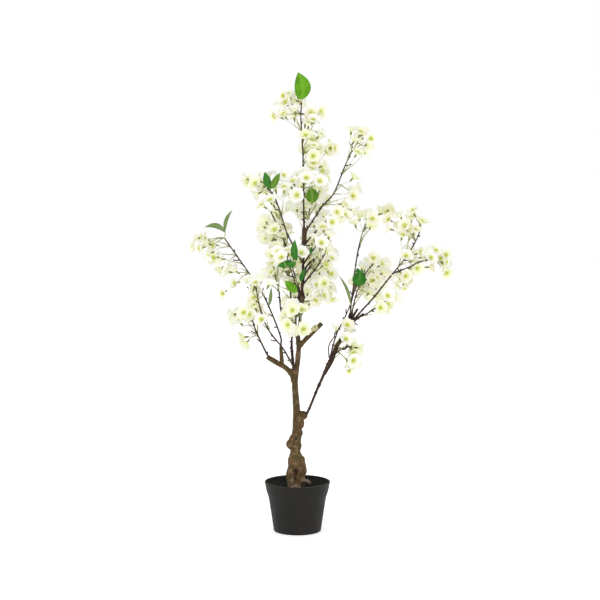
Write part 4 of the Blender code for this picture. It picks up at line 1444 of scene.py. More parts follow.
@dataclass
class Pot:
    """The pot, a thin tapered wall with a collar and a rolled lip, and the earth in it."""

    height: float = 132
    rim: float = 86
    collar_high: float = 33
    collar_foot: float = 80.7
    body_top: float = 76.3
    base: float = 62.7
    wall: float = 2.2
    floor: float = 3
    steps: int = 96
    rounding: float = 4        # radius of the edge underneath
    turns: tuple[float, ...] = (0.0, 0.5, 1.0, 1.57)
    sole: tuple[Point, ...] = ((-9, 2), (-6.5, 2), (-5.5, 0))
    waist: tuple[Point, ...] = ((-2.1, -18), (-0.6, -10), (1, -4))
    collar: tuple[Point, ...] = ((-1.4, 2), (0.5, 8), (1.8, 14))
    lip: tuple[Point, ...] = (
        (-1.1, -6), (-0.6, -4.8), (0, -3.4), (0, -1), (-0.6, -0.2), (-1.4, 0), (-2.1, 0), (-2.8, -0.7),
    )
    lip_highlight: Point = (-2.6, -0.5)  # where the lip's top begins, which is painted pale as a highlight
    sharpest: float = 38       # degrees of the edges that are shaded smooth
    fill: float = 119.6
    fill_depth: float = 16
    fill_edge: float = 82.1
    fill_foot: float = 77.9
    fill_rings: int = 26
    lumps: tuple[Point, ...] = ((14, 2.4), (4.5, 1.08))
    climb: float = 10.5        # how far the earth climbs at the wall
    crumbs: int = 600
    crumb_reach: float = 79
    crumb_size: Point = (1.0, 2.9)
    crumb_shares: tuple[Point, Point] = ((0.6, 1), (0.5, 0.9))  # its depth and height, as shares of that
    crumb_lean: float = 0.5
    crumb_rise: float = 0.2
    seed: int = 5

    def profile(self) -> list[Point]:
        """The profile from the underside over the lip and down the inside to the floor.

        Returns:
            The radius and height of each ring.
        """
        step = self.height - self.collar_high
        ledge = step + self.wall
        edge = [(self.rounding * math.sin(turn), -self.rounding * math.cos(turn)) for turn in self.turns]
        inside = [(self.collar_foot, ledge + 1), (self.body_top, ledge), (self.base, self.floor)]
        return [
            *shifted(self.sole, self.base, 0), *shifted(edge, self.base - self.rounding, self.rounding),
            *shifted(self.waist, self.body_top, step), *shifted(self.collar, self.collar_foot, step),
            *shifted(self.lip, self.rim, self.height), *shifted(inside, -self.wall, 0),
        ]

    def build(self) -> None:
        """Builds the pot and its earth."""
        wall = turned(self.profile(), self.steps)
        radii, heights = np.hypot(wall.points[:, 0], wall.points[:, 1]), wall.points[:, 2]
        # The top of the lip is painted pale, as a highlight.
        wall.marks[(radii > self.rim + self.lip_highlight[0]) & (heights > self.height + self.lip_highlight[1])] = -1
        # The inside of the wall above the earth is painted darker, as shade.
        wall.marks[(radii < self.collar_foot) & (heights > self.height - self.collar_high + self.wall)] = 1
        select(wall.piece("pot_wall", POT_FINISH, Slot.POT, ["pot"]))
        bpy.ops.object.shade_smooth_by_angle(angle=math.radians(self.sharpest))
        self.build_earth()
        self.build_crumbs()

    def build_earth(self) -> None:
        """Builds the lumpy earth."""
        count = self.fill_rings
        rings = [(self.fill_foot, self.fill - self.fill_depth), (self.fill_edge, self.fill)]
        rings += [(self.fill_edge * (1 - index / count), self.fill) for index in range(1, count)]
        earth = turned(rings, self.steps)
        for point in earth.points:
            if point[2] > self.fill - 1:
                point[2] += self.lump(point)
        earth.piece("earth", FILL_FINISH, Slot.FILL, ["pot_fill"])

    def build_crumbs(self) -> None:
        """Builds the crumbs that lie on the earth."""
        draw = random.Random(self.seed)
        crumbs = []
        for _ in range(self.crumbs):
            radius, turn = self.crumb_reach * math.sqrt(draw.random()), draw.uniform(0, math.tau)
            place = Vector((radius * math.cos(turn), radius * math.sin(turn), self.fill))
            place.z += self.lump(place) + self.crumb_rise
            lean = [draw.gauss(0, self.crumb_lean) for _ in range(2)]
            upward = Vector((*lean, 1)).normalized()
            matrix = placing(place, upward, draw.uniform(0, math.tau))
            size = draw.uniform(*self.crumb_size)
            sizes = [size * draw.uniform(*share) for share in self.crumb_shares]
            stretch = Matrix.Diagonal((size, *sizes, 1))
            crumbs.append(crumb().moved(matrix @ stretch))
        joined(crumbs).piece("earth_crumbs", CRUMB_FINISH, Slot.FILL, ["pot_fill"], is_smooth=False)

    def lump(self, place: Sequence[float]) -> float:
        """How far the earth rises at a place.

        Args:
            place: The place.

        Returns:
            The rise, which may be below zero.
        """
        spot = Vector((place[0], place[1], 0))
        return self.climb * (spot.length / self.fill_edge) ** 4 + lumpy(spot, self.lumps)


@cache
def crumb() -> Shape:
    """Models a crumb of earth of unit radius."""
    bpy.ops.mesh.primitive_ico_sphere_add(subdivisions=1, radius=1)
    return squeezed(bpy.context.object, lambda place: place.z > 0.3, (0.7, 1.15, 0.8))


def squeezed(obj: bpy.types.Object, is_wanted: Callable[[Vector], bool], share: Sequence[float]) -> Shape:
    """Scales part of an object about its middle.

    Args:
        obj: The object.
        is_wanted: Tells of a place whether its vertex is scaled.
        share: The scale along each axis.

    Returns:
        The object's shape.
    """
    with editing(obj):
        pick(obj, is_wanted)
        bpy.ops.transform.resize(value=share, center_override=(0, 0, 0))
    return Shape.of(obj)


@dataclass(frozen=True)
class Burl:
    """A round lump on the trunk, from its place and its half sizes."""

    place: tuple[float, float, float]
    sizes: tuple[float, float, float]


@dataclass(frozen=True)
class Dent:
    """A hollow in the trunk's side, painted dark as shade, with its place, radius and depth."""

    place: tuple[float, float, float]
    radius: float
    depth: float


@cache
def ball() -> Shape:
    """Models a lump of unit radius, a little drawn in at its ends."""
    bpy.ops.mesh.primitive_uv_sphere_add(segments=20, ring_count=12, radius=1)
    return squeezed(bpy.context.object, lambda place: abs(place.z) > 0.7, (0.92, 0.92, 0.97))


@dataclass
class Trunk:
    """The moulded trunk with its knuckles and its stubs, in one skin with lumps, ridges and hollows."""

    foot: float = 116
    step: float = 5
    sides: int = 28
    voxel: float = 1.3
    smoothing: int = 5
    boughs: tuple[tuple[str, float], ...] = (("left", 1.14), ("cut", 1.08))  # each with how full it is
    bough_sides: int = 20
    stub: tuple = (
        (-38, 4, 437, 10.5), (-41, 3, 455, 10), (-42, 2, 472, 9.8), (-43, 0, 486, 9.4), (-43, -1, 494, 7),
    )
    stub_sides: int = 18
    burls: tuple[Burl, ...] = (
        Burl((-17, 0, 231), (13, 12, 15)), Burl((-12, 0, 243), (11, 10, 14)),
        Burl((14.5, 0, 307), (12.5, 8, 13)), Burl((9, 0, 285), (9.5, 8, 15)),
        Burl((6, -2, 261), (9, 9, 12)), Burl((10, -4, 187), (11, 12, 17)),
        Burl((-10, -8, 152), (15, 15, 20)), Burl((9, -8, 148), (13, 13, 16)),
        Burl((1, -1, 514), (7, 7, 5)), Burl((-14.5, 0, 418), (8, 6, 14)),
        Burl((-12, 1, 404), (6.3, 6, 14)), Burl((-3, -12, 124), (18, 14, 12)),
    )
    roots: tuple = (
        ((9, -12, 132, 10), (19, -18, 136, 12), (27, -21, 134.5, 11), (32, -23, 131.5, 9.5),
         (35, -24, 128.5, 6)),
        ((-24, -12, 114, 9), (-20, -19, 125, 10), (-16, -22, 135, 8), (-12, -22, 141, 5)),
        ((-19, -15, 115, 9), (-12, -24, 120, 9), (-5, -26, 122, 8), (2, -26, 120, 7), (9, -22, 117, 6)),
    )
    root_step: float = 3
    root_sides: int = 12
    lumps: tuple[Point, ...] = ((22, 2.4), (9, 1.4), (3.6, 0.55))
    calm: Point = (0.4, 0.7)   # how high lumps are on the upper trunk, and how much more at its foot
    knobby: Point = (215, 12)  # the height below which the trunk is knobby, and how soon it gets so
    tall: float = 0.6          # how far lumps are drawn out along the trunk
    crack: tuple[float, float, float] = (9, 0.16, 8)  # their spacing, width and depth
    crack_tall: float = 0.3
    crack_calm: Point = (0.35, 0.65)
    hollow: tuple[float, float, float] = (-0.22, -0.35, 0.7)  # how dark hollows and cracks are painted, as shade
    dents: tuple[Dent, ...] = (
        Dent((-4, -25, 162), 7, 4.5), Dent((-5, -25, 153), 5.5, 3), Dent((-6, -23, 143), 3.5, 2),
        Dent((68, 12, 552), 9, 0), Dent((3, -1, 523), 10, 0), Dent((-4, -14, 246), 4, 1.5),
        Dent((22, -6, 316), 5, 0.8),
    )
    full: float = 1.3          # marks reach 1 a little before the middle of a dent or a root
    crust: float = 3.5         # how far the pale colour reaches round a root
    crust_spots: tuple[float, float, float] = (4, 0.75, 0.9)
    darkest_plain: float = 0.3
    upper_dark: float = 0.2
    # painted light: how much paler the trunk is painted below its knobby height
    foot_painted_light: float = 0.08
    wrap: tuple = (
        (27, 3, 520, 4), (34, 3, 528, 8), (41, 4, 533.5, 13), (47, 6, 537.5, 14), (51, 8, 540, 13),
    )
    wrap_step: float = 2
    wrap_folds: tuple[Point, ...] = ((6, 2.6), (2.5, 0.8))

    def swollen(self, place: Vector, axis: Vector) -> Vector:
        """Moves a place on the trunk's side out from the trunk's axis by the knuckles near it.

        Args:
            place: The place.
            axis: The place of the trunk's axis at the same height.

        Returns:
            The moved place.
        """
        out = Vector((place.x - axis.x, place.y - axis.y, 0))
        if out.length < TINY:
            return place
        out.normalize()
        swell = 0.0
        for knuckle in KNUCKLES:
            facing = max(0.0, out.dot(pointing(knuckle.heading, 0)))
            above = (place.z - knuckle.height) / knuckle.spread
            swell += knuckle.size * facing**2 * math.exp(-(above**2))
        return place + out * swell

    def trunk_tube(self) -> Shape:
        """The trunk's tube, swollen at its knuckles.

        Returns:
            The tube.
        """
        route = smooth(named("trunk").knots, self.step)
        tube = bent(route, self.sides)
        for index, point in enumerate(tube.points):
            place = Vector(point)
            axis = next((start.lerp(end, (place.z - start.z) / (end.z - start.z)).xyz
                         for start, end in zip(route, route[1:]) if end.z >= place.z), route[-1].xyz)
            tube.points[index] = self.swollen(place, axis)
        return tube

    def body(self) -> Shape:
        """The trunk, its stubs, roots and burls, joined but not yet of one skin.

        Returns:
            Their shape.
        """
        parts = [self.trunk_tube()]
        for name, share in self.boughs:
            samples = smooth(named(name).knots, self.step)
            fuller = [Vector((*sample.xyz, sample.w * share)) for sample in samples]
            parts.append(bent(fuller, self.bough_sides))
        parts += [bent(smooth(knots, self.root_step), self.root_sides) for knots in self.roots]
        parts += [ball().moved(Matrix.Translation(burl.place) @ Matrix.Diagonal((*burl.sizes, 1)))
                  for burl in self.burls]
        return joined(parts + [bent(smooth(self.stub, self.root_step), self.stub_sides)])

    def build(self) -> None:
        """Builds the skin of the trunk and its stubs, and the torn wrap."""
        skin = self.body().obj("trunk_skin")
        apply_modifier(skin, "REMESH", mode="VOXEL", voxel_size=self.voxel * 1)
        apply_modifier(skin, "SMOOTH", factor=0.5, iterations=self.smoothing)
        with editing(skin):
            bpy.ops.mesh.bisect(
                plane_co=(0, 0, self.foot), plane_no=(0, 0, 1), use_fill=True, clear_inner=True)
        normals = np.empty(len(skin.data.vertices) * 3)
        skin.data.vertex_normals.foreach_get("vector", normals)
        shape = Shape.of(skin)
        for index, (point, normal) in enumerate(zip(shape.points, normals.reshape(-1, 3))):
            move, shape.marks[index] = self.relief(Vector(point))
            shape.points[index] = point + normal * move
        shape.piece("trunk_skin", BARK_FINISH, Slot.BARK, ["trunk", "left_bough", "cut_bough"])
        self.build_wrap()

    def build_wrap(self) -> None:
        """Builds the torn pale wrap that is left on the cut bough."""
        tube = bent(smooth(self.wrap, self.wrap_step), self.stub_sides)
        for index, point in enumerate(tube.points):
            place = moved = Vector(point)
            for scale, size in self.wrap_folds:
                moved = moved + size * noise.noise_vector(place / scale)
            tube.points[index] = moved
        tube.piece("bough_wrap", WRAP_FINISH, Slot.BLOSSOM, ["cut_bough"])

    def paleness(self, place: Vector) -> float:
        """How pale the crust of the roots is at a place.

        Args:
            place: The place.

        Returns:
            From 0 far from the roots to about 1 on them, in spots.
        """
        pale = 0.0
        for knots in self.roots:
            for x, y, z, width in knots[1:]:
                reach = (place - Vector((x, y, z))).length - width / 2
                pale = max(pale, min(1.0, self.full - reach / self.crust))
        scale, least, more = self.crust_spots
        return pale * (least + more * noise.noise(place / scale))

    def relief(self, place: Vector) -> Point:
        """The relief of the bark at a place.

        Args:
            place: The place.

        Returns:
            How far the skin moves out, and its mark: how dark it is, painted shade in its cracks, hollows and
                dents, or below zero how pale, from the roots' crust and from painted light on the lower
                trunk.
        """
        low = 1 / (1 + math.exp((place.z - self.knobby[0]) / self.knobby[1]))
        tall = Vector((place.x, place.y, self.tall * place.z))
        move = 0.0
        for scale, size in self.lumps:
            move += size * (self.calm[0] + self.calm[1] * low) * noise.noise(tall / scale)
        spacing, width, depth = self.crack
        taller = Vector((place.x, place.y, self.crack_tall * place.z))
        crack = max(0.0, width - abs(noise.noise(taller / spacing)))
        move -= depth * crack * (self.crack_calm[0] + self.crack_calm[1] * low)
        # Where the skin sinks in, in cracks, hollows and dents, it is painted dark as shade.
        slope, start, most = self.hollow
        dark = min(most, max(0.0, slope * move + start))
        for dent in self.dents:
            nearness = math.exp(-((place - Vector(dent.place)).length / dent.radius) ** 2)
            move -= dent.depth * nearness
            dark = max(dark, min(1.0, self.full * nearness))
        if dark > self.darkest_plain:
            return move, dark
        # The roots' crust is pale, and the lower trunk is painted paler, as light.
        pale = max(self.paleness(place), self.foot_painted_light * low)
        return move, self.upper_dark * (1 - low) + dark * low - pale


TWIGS = (
    ((72, -8, 416, 5), (91, -12, 450, 5), (103, -12, 480, 4.4), (112, -12, 486, 4), (122, -12, 482, 3.6),
     (134, -12, 492, 3)),
    ((83, -8, 460, 3.4), (81, -12, 485, 3), (86, -12, 501, 2.8), (96, -12, 516, 2.4)),
    ((136, -6, 548, 7.5), (149, -12, 576, 6.5), (157, -12, 589, 5.5)),
    ((138, -8, 552, 8), (158, -10, 565, 7), (173, -10, 576, 5.5)),
    ((133, -12, 549, 6.5), (134, -11, 562, 6.5), (137, -7, 577, 5)),
    ((13, -2, 640, 6), (17, -8, 673, 6), (22, -8, 695, 5.6), (32, -8, 708, 5.2), (45, -8, 719, 4.6)),
)
COLLARS = (
    ((15, 0, 726, 6), (16, 0, 734, 12), (17, 0, 744, 17), (17, 0, 753, 12.5), (18, 0, 775, 12),
     (18, 0, 793, 11.5), (18, 0, 800, 7)),
    ((142, -9, 540, 10), (141, -9, 545, 19), (140, -8, 550, 23), (139, -8, 555, 19), (138, -7, 562, 8)),
    ((10, 0, 602, 8), (10, 0, 610, 16), (10, 0, 618, 22), (11, 0, 626, 16), (11, 0, 635, 8)),
    ((70, -7, 420, 8), (84, -8, 449, 10.5), (98, -8, 478, 12), (107, -8, 497, 11.5), (113, -8, 508, 11.5),
     (115, -8, 513, 7)),
)


@dataclass
class Stems:
    """The wire stems and the dark boughs: tubes with knobs, each from inside its parent to its tip."""

    step: float = 5
    sides: int = 8
    bough_step: float = 4
    bough_sides: int = 12
    knob_share: float = 0.16
    knob: float = 0.28
    uneven: Point = (-0.05, 0.07)
    in_stub: float = 2.3       # radius of the wire stem that rises from the stub
    collar_step: float = 2
    collar_sides: int = 20
    collar_lumps: tuple[Point, ...] = ((6, 1.6), (2.4, 0.7))
    # how dark a collar is painted where its lumps sink in, as shade
    collar_dip_shade: float = -0.9
    bud_spacing: float = 26
    bud_length: Point = (4.5, 7)
    bud_width: Point = (1.5, 2.3)
    bud: tuple[Point, ...] = ((0, 0.5), (0.3, 1), (0.7, 0.85), (1, 0.2))  # shares of its length and width
    bud_lean: Point = (0.6, 1.2)
    twig_share: float = 0.3
    twig_length: Point = (8, 16)
    twig_radii: Point = (1.8, 1.4)
    twig_rings: int = 5
    twig_sides: int = 6
    sunk: Point = (0.8, 0.6)   # how deep a bud sits in a twig and in a stem
    seed: int = 11

    def knobby(self, route: Route, draw: random.Random) -> Route:
        """Widens some of a route's samples to knobs.

        Args:
            route: The route.
            draw: The draws.

        Returns:
            The route with its knobs.
        """
        found = []
        for sample in route:
            wider = 1 + (self.knob if draw.random() < self.knob_share else 0.0) + draw.uniform(*self.uneven)
            found.append(Vector((*sample.xyz, sample.w * wider)))
        return found

    def build(self) -> None:
        """Builds the dark boughs, the collars, the wire stems, and the buds and twigs on them."""
        draw = random.Random(self.seed)
        dark = [bent(self.knobby(smooth(knots, self.bough_step), draw), self.bough_sides)
                for knots in (named("crown").knots, named("right").knots, *TWIGS)]
        joined(dark).piece("dark_boughs", DARK_BARK_FINISH, Slot.BARK, ["crown_bough", "right_bough"])
        self.build_collars()
        stems, buds = [], []
        thin = [branch for branch in BRANCHES if branch.bare < 1]
        for branch in thin:
            route = self.knobby(smooth(branch.knots, self.step), draw)
            if branch.name == "left_outer":
                route = [Vector((*sample.xyz, min(sample.w, self.in_stub))) for sample in route]
            stems.append(bent(route, self.sides))
            self.add_buds(route, stems, buds, draw)
        nodes = [branch.name + "_bough" for branch in thin if branch.bare > 0]
        joined(stems).piece("wire_stems", STEM_FINISH, Slot.BARK, nodes)
        joined(buds).piece("buds", BUD_FINISH, Slot.BARK, nodes)

    def build_collars(self) -> None:
        """Builds the rough collars that the wire stems leave the boughs from."""
        tubes = [bent(smooth(knots, self.collar_step), self.collar_sides) for knots in COLLARS]
        for tube in tubes:
            middle = tube.points.mean(axis=0)
            for index, point in enumerate(tube.points):
                place = Vector(point)
                out = Vector((place.x - middle[0], place.y - middle[1], 0))
                out = out.normalized() if out.length > TINY else out
                lump = lumpy(place, self.collar_lumps)
                tube.points[index] = place + out * lump
                # The dips of a collar are painted dark, as shade.
                tube.marks[index] = min(1.0, max(0.0, self.collar_dip_shade * lump))
        joined(tubes).piece("collars", COLLAR_FINISH, Slot.BARK, ["crown_bough", "right_bough"])

    def add_buds(self, route: Route, twigs: list[Shape], buds: list[Shape], draw: random.Random) -> None:
        """Adds buds to a stem, some of them at the end of a short twig.

        Args:
            route: The stem's route.
            twigs: Where the twigs go.
            buds: Where the buds go.
            draw: The draws.
        """
        every = round(self.bud_spacing / self.step)
        for index in range(draw.randint(2, every), len(route) - 1, every):
            place, forward = along(route, (index + draw.uniform(-1, 1)) / (len(route) - 1))
            way = tilted(forward, draw.uniform(*self.bud_lean), draw.uniform(0, math.tau))
            if draw.random() < self.twig_share:
                end = place + way * draw.uniform(*self.twig_length)
                onward = (way + 0.5 * forward).normalized()
                twig = arc(place, way, end, onward, self.twig_radii, self.twig_rings)
                twigs.append(bent(twig, self.twig_sides))
                place, way = end - onward * self.sunk[0], onward
            else:
                place = place + way * (route[index].w - self.sunk[1])
            length, width = draw.uniform(*self.bud_length), draw.uniform(*self.bud_width)
            bud = [Vector((*(place + way * length * far), width * wide)) for far, wide in self.bud]
            buds.append(bent(bud, self.twig_sides))


@dataclass(frozen=True)
class Ring:
    """A ring of petals: how many, their length and half width, and how they lean out and curl, in degrees."""

    count: int
    length: float
    half_width: float
    lean: float
    curl: float
    start: float
    rise: float
    cup: float = 2.6
    fade: float = 2.1         # how soon the green of the throat ends
    halo: float = 0.0


@dataclass(frozen=True)
class Blade:
    """A leaf: its limb, foot and tip, its breadth, its bow sideways, and the heading of its upper side."""

    limb: str
    foot: tuple[float, float, float]
    tip: tuple[float, float, float]
    breadth: float
    kind: Green = Green.DEEP
    bow: float = 0.0
    faces: float = -90
    depth: float = 14         # blossom further behind it than this is not in its way
    room: Point = (15, 0.35)  # what blossom keeps from its middle line, and the share of its breadth on top

    def matrix(self) -> tuple[Matrix, float]:
        """The matrix that sets a leaf along Y and facing Z in its place, and the leaf's length."""
        chord = Vector(self.tip) - Vector(self.foot)
        return leaf_matrix(Vector(self.foot), chord.normalized(), self.faces), chord.length

    def is_shaded(self, heart: Vector) -> bool:
        """Whether a blossom would stand in front of the leaf, or in it.

        Args:
            heart: The middle of the blossom.

        Returns:
            True if it would.
        """
        foot, tip = Vector(self.foot), Vector(self.tip)
        if heart.y > max(foot.y, tip.y) + self.depth:
            return False
        chord = Vector((tip.x - foot.x, tip.z - foot.z))
        across = Vector((heart.x - foot.x, heart.z - foot.z))
        share = min(1.0, max(0.0, across.dot(chord) / chord.length_squared))
        return (across - chord * share).length < self.room[0] + self.room[1] * self.breadth


BLADES = (
    Blade("leader", (12, 0, 1129), (2, 0, 1199), 42, Green.BRIGHT, 0.09),
    Blade("upper_left", (-68, -52, 902), (-83, -52, 945), 20, Green.DEEP, -0.05),
    Blade("upper_left", (-66, -54, 902), (-45, -54, 942), 17, Green.GRASS, 0.0),
    Blade("leader", (38, -10, 864), (35, -10, 905), 33, Green.GRASS, 0.04),
    Blade("left_outer", (-185, -22, 789), (-240, -22, 801), 14, Green.OLIVE, 0.2),
    Blade("left_outer", (-187, -20, 792), (-167, -20, 846), 10, Green.OLIVE, -0.11),
    Blade("centre_front", (-4, -92, 719), (-6, -92, 774), 18, Green.DEEP, -0.05),
    Blade("centre_front", (-3, -94, 713), (-51, -94, 706), 20, Green.DEEP, 0.05),
    Blade("centre_front", (7, -60, 665), (19, -60, 697), 12, Green.DEEP, 0.0),
    Blade("centre_front", (-2, -42, 635), (-32, -42, 665), 22, Green.BRIGHT, 0.0),
    Blade("right_mid", (155, 4, 648), (167, 4, 688), 36, Green.DEEP, 0.02),
    Blade("right_inner", (137, -32, 605), (106, -32, 678), 8, Green.OLIVE, 0.08),
    Blade("left_outer", (-73, -14, 598), (-68, -14, 646), 9, Green.OLIVE, 0.03),
    Blade("inner_right", (33, 8, 730), (38, 8, 749), 10, Green.DEEP, 0.0),
)


@dataclass
class Flowers:
    """The blossoms: silk petals in three rings, a heart, stamens, a calyx and a stalk each, in sprays."""

    breadths: tuple[float, ...] = (0.24, 0.62, 0.92, 1.0, 0.68)
    small_breadths: tuple[float, ...] = (0.3, 0.85, 1.0, 0.55)
    notch: float = 0.1
    kinds: int = 8
    seed: int = 23
    rings: tuple[Ring, ...] = (
        Ring(5, 23, 10.4, 32, 42, 2.0, 5.0, fade=2.0), Ring(5, 19, 9.0, 30, 38, 1.6, 5.5, fade=1.35),
        Ring(5, 14, 6.8, 28, 34, 1.2, 6.0, fade=0.95, halo=0.22),
    )
    heart_rings: tuple[Ring, ...] = (
        Ring(5, 9.5, 3.4, 16, 40, 0.8, 7.5, 0.8, fade=1.5, halo=0.5),
        Ring(3, 8.5, 2.8, 2, 26, 0.4, 8.0, 0.6, fade=1.2, halo=0.5),
    )
    size: Point = (0.92, 1.04)
    turned: Point = (0.8, 1.3)
    little_turned: Point = (0.0, 0.3)
    turned_share: float = 0.34
    calyx_profile: tuple[Point, ...] = (
        (0.8, -6.5), (1.6, -5), (2.4, -2), (2.8, 1.5), (2.5, 4.5), (3.2, 7.5),
    )
    calyx_sides: int = 6
    stamen_count: int = 5
    stamen_foot: float = 7
    stamen_lean: Point = (0.08, 0.34)
    stamen_length: Point = (9, 11)
    bead: float = 0.9
    stamen_radii: tuple[float, ...] = (0.25, 0.22, 0.75, 0.45)
    stamen_seed: int = 3
    stalk: float = 0.55
    stalk_end: float = 6      # how far below a blossom's foot its calyx is all brown
    stalk_in: float = 5.5
    spur: Point = (1.5, 1.15)
    spur_rings: int = 6
    spur_sides: int = 6
    brown: tuple[float, float, float] = (1.25, 28, 0.3)  # a spur's brown: at its foot, its reach, the least
    stalk_flare: float = 1.1
    stalk_rings: int = 7
    stalk_sides: int = 5
    length_spread: Point = (0.87, 1.07)
    lean_spread: Point = (-7, 8)
    curl_spread: Point = (-18, 18)
    width_spread: Point = (0.92, 1.06)
    flat_foot: float = 0.35   # share of its cupping that a petal has at its foot
    ruffle: float = 1.7
    ruffles: float = 4.2      # how close the waves of a petal's edge are
    calm: float = 0.3         # share of those waves that its middle has
    fringe: float = 0.9       # how ragged a petal's tip is
    fringes: float = 6.5
    jitter: float = 0.1
    twist: float = 0.1
    back: float = 22          # depth from which blossom turns to the back
    node_spacing: float = 30
    shared: float = 0.45      # share of the way to its blossoms that a spray stays one stalk

    def curled(self, blank: Shape, ring: Ring, turn: float, draw: random.Random) -> Shape:
        """Curls a flat petal out from the blossom's axis along an arc, cups it and ruffles its edge.

        Args:
            blank: The flat petal.
            ring: The ring that it belongs to.
            turn: Where it stands round the axis.
            draw: The draws.

        Returns:
            The petal in its place in a blossom.
        """
        across, v = blank.points[:, 0], blank.points[:, 1]
        length = ring.length * draw.uniform(*self.length_spread)
        lean = math.radians(ring.lean + draw.uniform(*self.lean_spread))
        curl = math.radians(ring.curl + draw.uniform(*self.curl_spread))
        angle = lean + curl * v
        out = ring.start + length * (math.cos(lean) - np.cos(angle)) / curl
        up = ring.rise + length * (np.sin(angle) - math.sin(lean)) / curl
        ruffle = self.ruffle * v * np.sin(self.ruffles * across + draw.uniform(0, math.tau))
        out = out + self.fringe * v**3 * np.sin(self.fringes * across + draw.uniform(0, math.tau))
        cup = ring.cup * across**2 * (self.flat_foot + (1 - self.flat_foot) * v)
        lift = cup + ruffle * (self.calm + np.abs(across))
        out, up = out - np.cos(angle) * lift, up + np.sin(angle) * lift
        wide = across * ring.half_width * draw.uniform(*self.width_spread)
        cos, sin = math.cos(turn), math.sin(turn)
        points = np.stack([wide * cos - out * sin, wide * sin + out * cos, up], axis=1)
        return Shape(points, blank.faces, np.clip(1 + ring.halo - ring.fade * v, 0, 1))

    def crowded(self, rings: Sequence[Ring], blank: Shape, draw: random.Random) -> Shape:
        """Gathers the rings of a blossom's petals.

        Args:
            rings: The rings, from outside in.
            blank: The flat petal.
            draw: The draws.

        Returns:
            The petals of one blossom, its foot at the origin and its axis along Z.
        """
        petals = []
        first = draw.uniform(0, math.tau)
        for ring in rings:
            for index in range(ring.count):
                turn = first + index * math.tau / ring.count + draw.uniform(-self.jitter, self.jitter)
                petals.append(self.curled(blank, ring, turn, draw))
            first += math.pi / ring.count + self.twist
        return joined(petals)

    def calyx(self) -> Shape:
        """The calyx, with its foot below the origin and its axis along Z, marked at its foot."""
        shape = turned(self.calyx_profile, self.calyx_sides)
        return Shape(shape.points, shape.faces, np.clip(-shape.points[:, 2] / self.stalk_end, 0, 1))

    def stamens(self) -> Shape:
        """Models the stamens of a heart: needles with a bead at their tips.

        Returns:
            The stamens.
        """
        draw = random.Random(self.stamen_seed)
        foot, needles = Vector((0, 0, self.stamen_foot)), []
        for index in range(self.stamen_count):
            turn = index * math.tau / self.stamen_count
            way = tilted(Vector((0, 0, 1)), draw.uniform(*self.stamen_lean), turn)
            tip = foot + way * draw.uniform(*self.stamen_length)
            places = (foot, tip - way, tip, tip + way * self.bead)
            route = [Vector((*place, radius)) for place, radius in zip(places, self.stamen_radii)]
            needles.append(bent(route, 4))
        return joined(needles)

    def turned_out(self, blossom: Blossom, draw: random.Random) -> tuple[Vector, Vector]:
        """Turns a blossom to face out of the crown, about its heart, most of them well and the rest a little.

        Args:
            blossom: The blossom.
            draw: The draws.

        Returns:
            The place of its calyx, and where it faces.
        """
        heart = blossom.heart()
        outward = Vector((0, -1 if heart.y < self.back else 1, 0))
        amount = draw.uniform(*(self.turned if draw.random() < self.turned_share else self.little_turned))
        facing = (blossom.facing + amount * outward).normalized()
        return heart - facing * RULE.blossom_heart, facing

    def build(self, crown: Crown) -> None:
        """Builds all the blossom of the crown, each kind of thing apart.

        Args:
            crown: The crown.
        """
        draw = random.Random(self.seed)
        petal, small = sheet(4, 2, self.breadths, self.notch), sheet(2, 2, self.small_breadths)
        kinds = [self.crowded(self.rings, petal, draw) for _ in range(self.kinds)]
        hearts = [self.crowded(self.heart_rings, small, draw) for _ in range(self.kinds)]
        calyx, stamens = self.calyx(), self.stamens()
        made = {name: [] for name in (*Tint, *FLOWER_FINISHES)}
        for mass, spray in crown.sprays():
            tint = draw.choices(list(Tint), [tint.value for tint in Tint])[0]
            placed = [self.turned_out(blossom, draw) for blossom in spray.blossoms]
            node, forward = self.node(mass, spray)
            middle = sum((foot for foot, _ in placed), Vector((0, 0, 0))) / len(placed)
            fan = spray.fan.lerp(middle, self.shared)
            outward = (fan - node).normalized()
            made["stalks"].append(self.spur_of(node, forward, fan))
            for foot, facing in placed:
                if any(blade.is_shaded(foot + facing * RULE.blossom_heart) for blade in BLADES):
                    continue
                matrix = placing(foot, facing, draw.uniform(0, math.tau))
                matrix = matrix @ Matrix.Scale(draw.uniform(*self.size), 4)
                made[tint].append(draw.choice(kinds).moved(matrix))
                made["hearts"].append(draw.choice(hearts).moved(matrix))
                made["calyxes"].append(calyx.moved(matrix))
                made["stamens"].append(stamens.moved(matrix))
                made["stalks"].append(self.stalk_of(fan, outward, foot, facing))
        for tint, finish in SILK_FINISHES.items():
            joined(made[tint]).piece("petals_" + tint.name.lower(), finish, Slot.BLOSSOM, BEARING)
        for name, finish in FLOWER_FINISHES.items():
            joined(made[name]).piece(name, finish, Slot.BLOSSOM, BEARING)

    def stalk_of(self, fan: Vector, outward: Vector, foot: Vector, facing: Vector) -> Shape:
        """The stalk of a blossom.

        Args:
            fan: The end of the stalk that its spray shares.
            outward: The direction of that stalk.
            foot: The place of the blossom's calyx.
            facing: Where the blossom faces.

        Returns:
            The stalk.
        """
        onward = (foot - fan).normalized()
        arriving = (facing + 0.5 * onward).normalized()
        leaving, end = (outward + onward).normalized(), foot - facing * self.stalk_in
        radii = (self.stalk, self.stalk * self.stalk_flare)
        return bent(arc(fan, leaving, end, arriving, radii, self.stalk_rings), self.stalk_sides)

    def node(self, mass: Mass, spray: Spray) -> tuple[Vector, Vector]:
        """The node of its stem that a spray grows from, and the stem's direction there.

        Args:
            mass: The mass, whose nodes are spaced evenly along its stem.
            spray: The spray.

        Returns:
            The place of the nearest node, and the direction.
        """
        count = max(1, round(length_of(mass.stem) / self.node_spacing))
        nodes = [along(mass.stem, index / count) for index in range(count + 1)]
        return min(nodes, key=lambda node: (node[0] - spray.place).length)

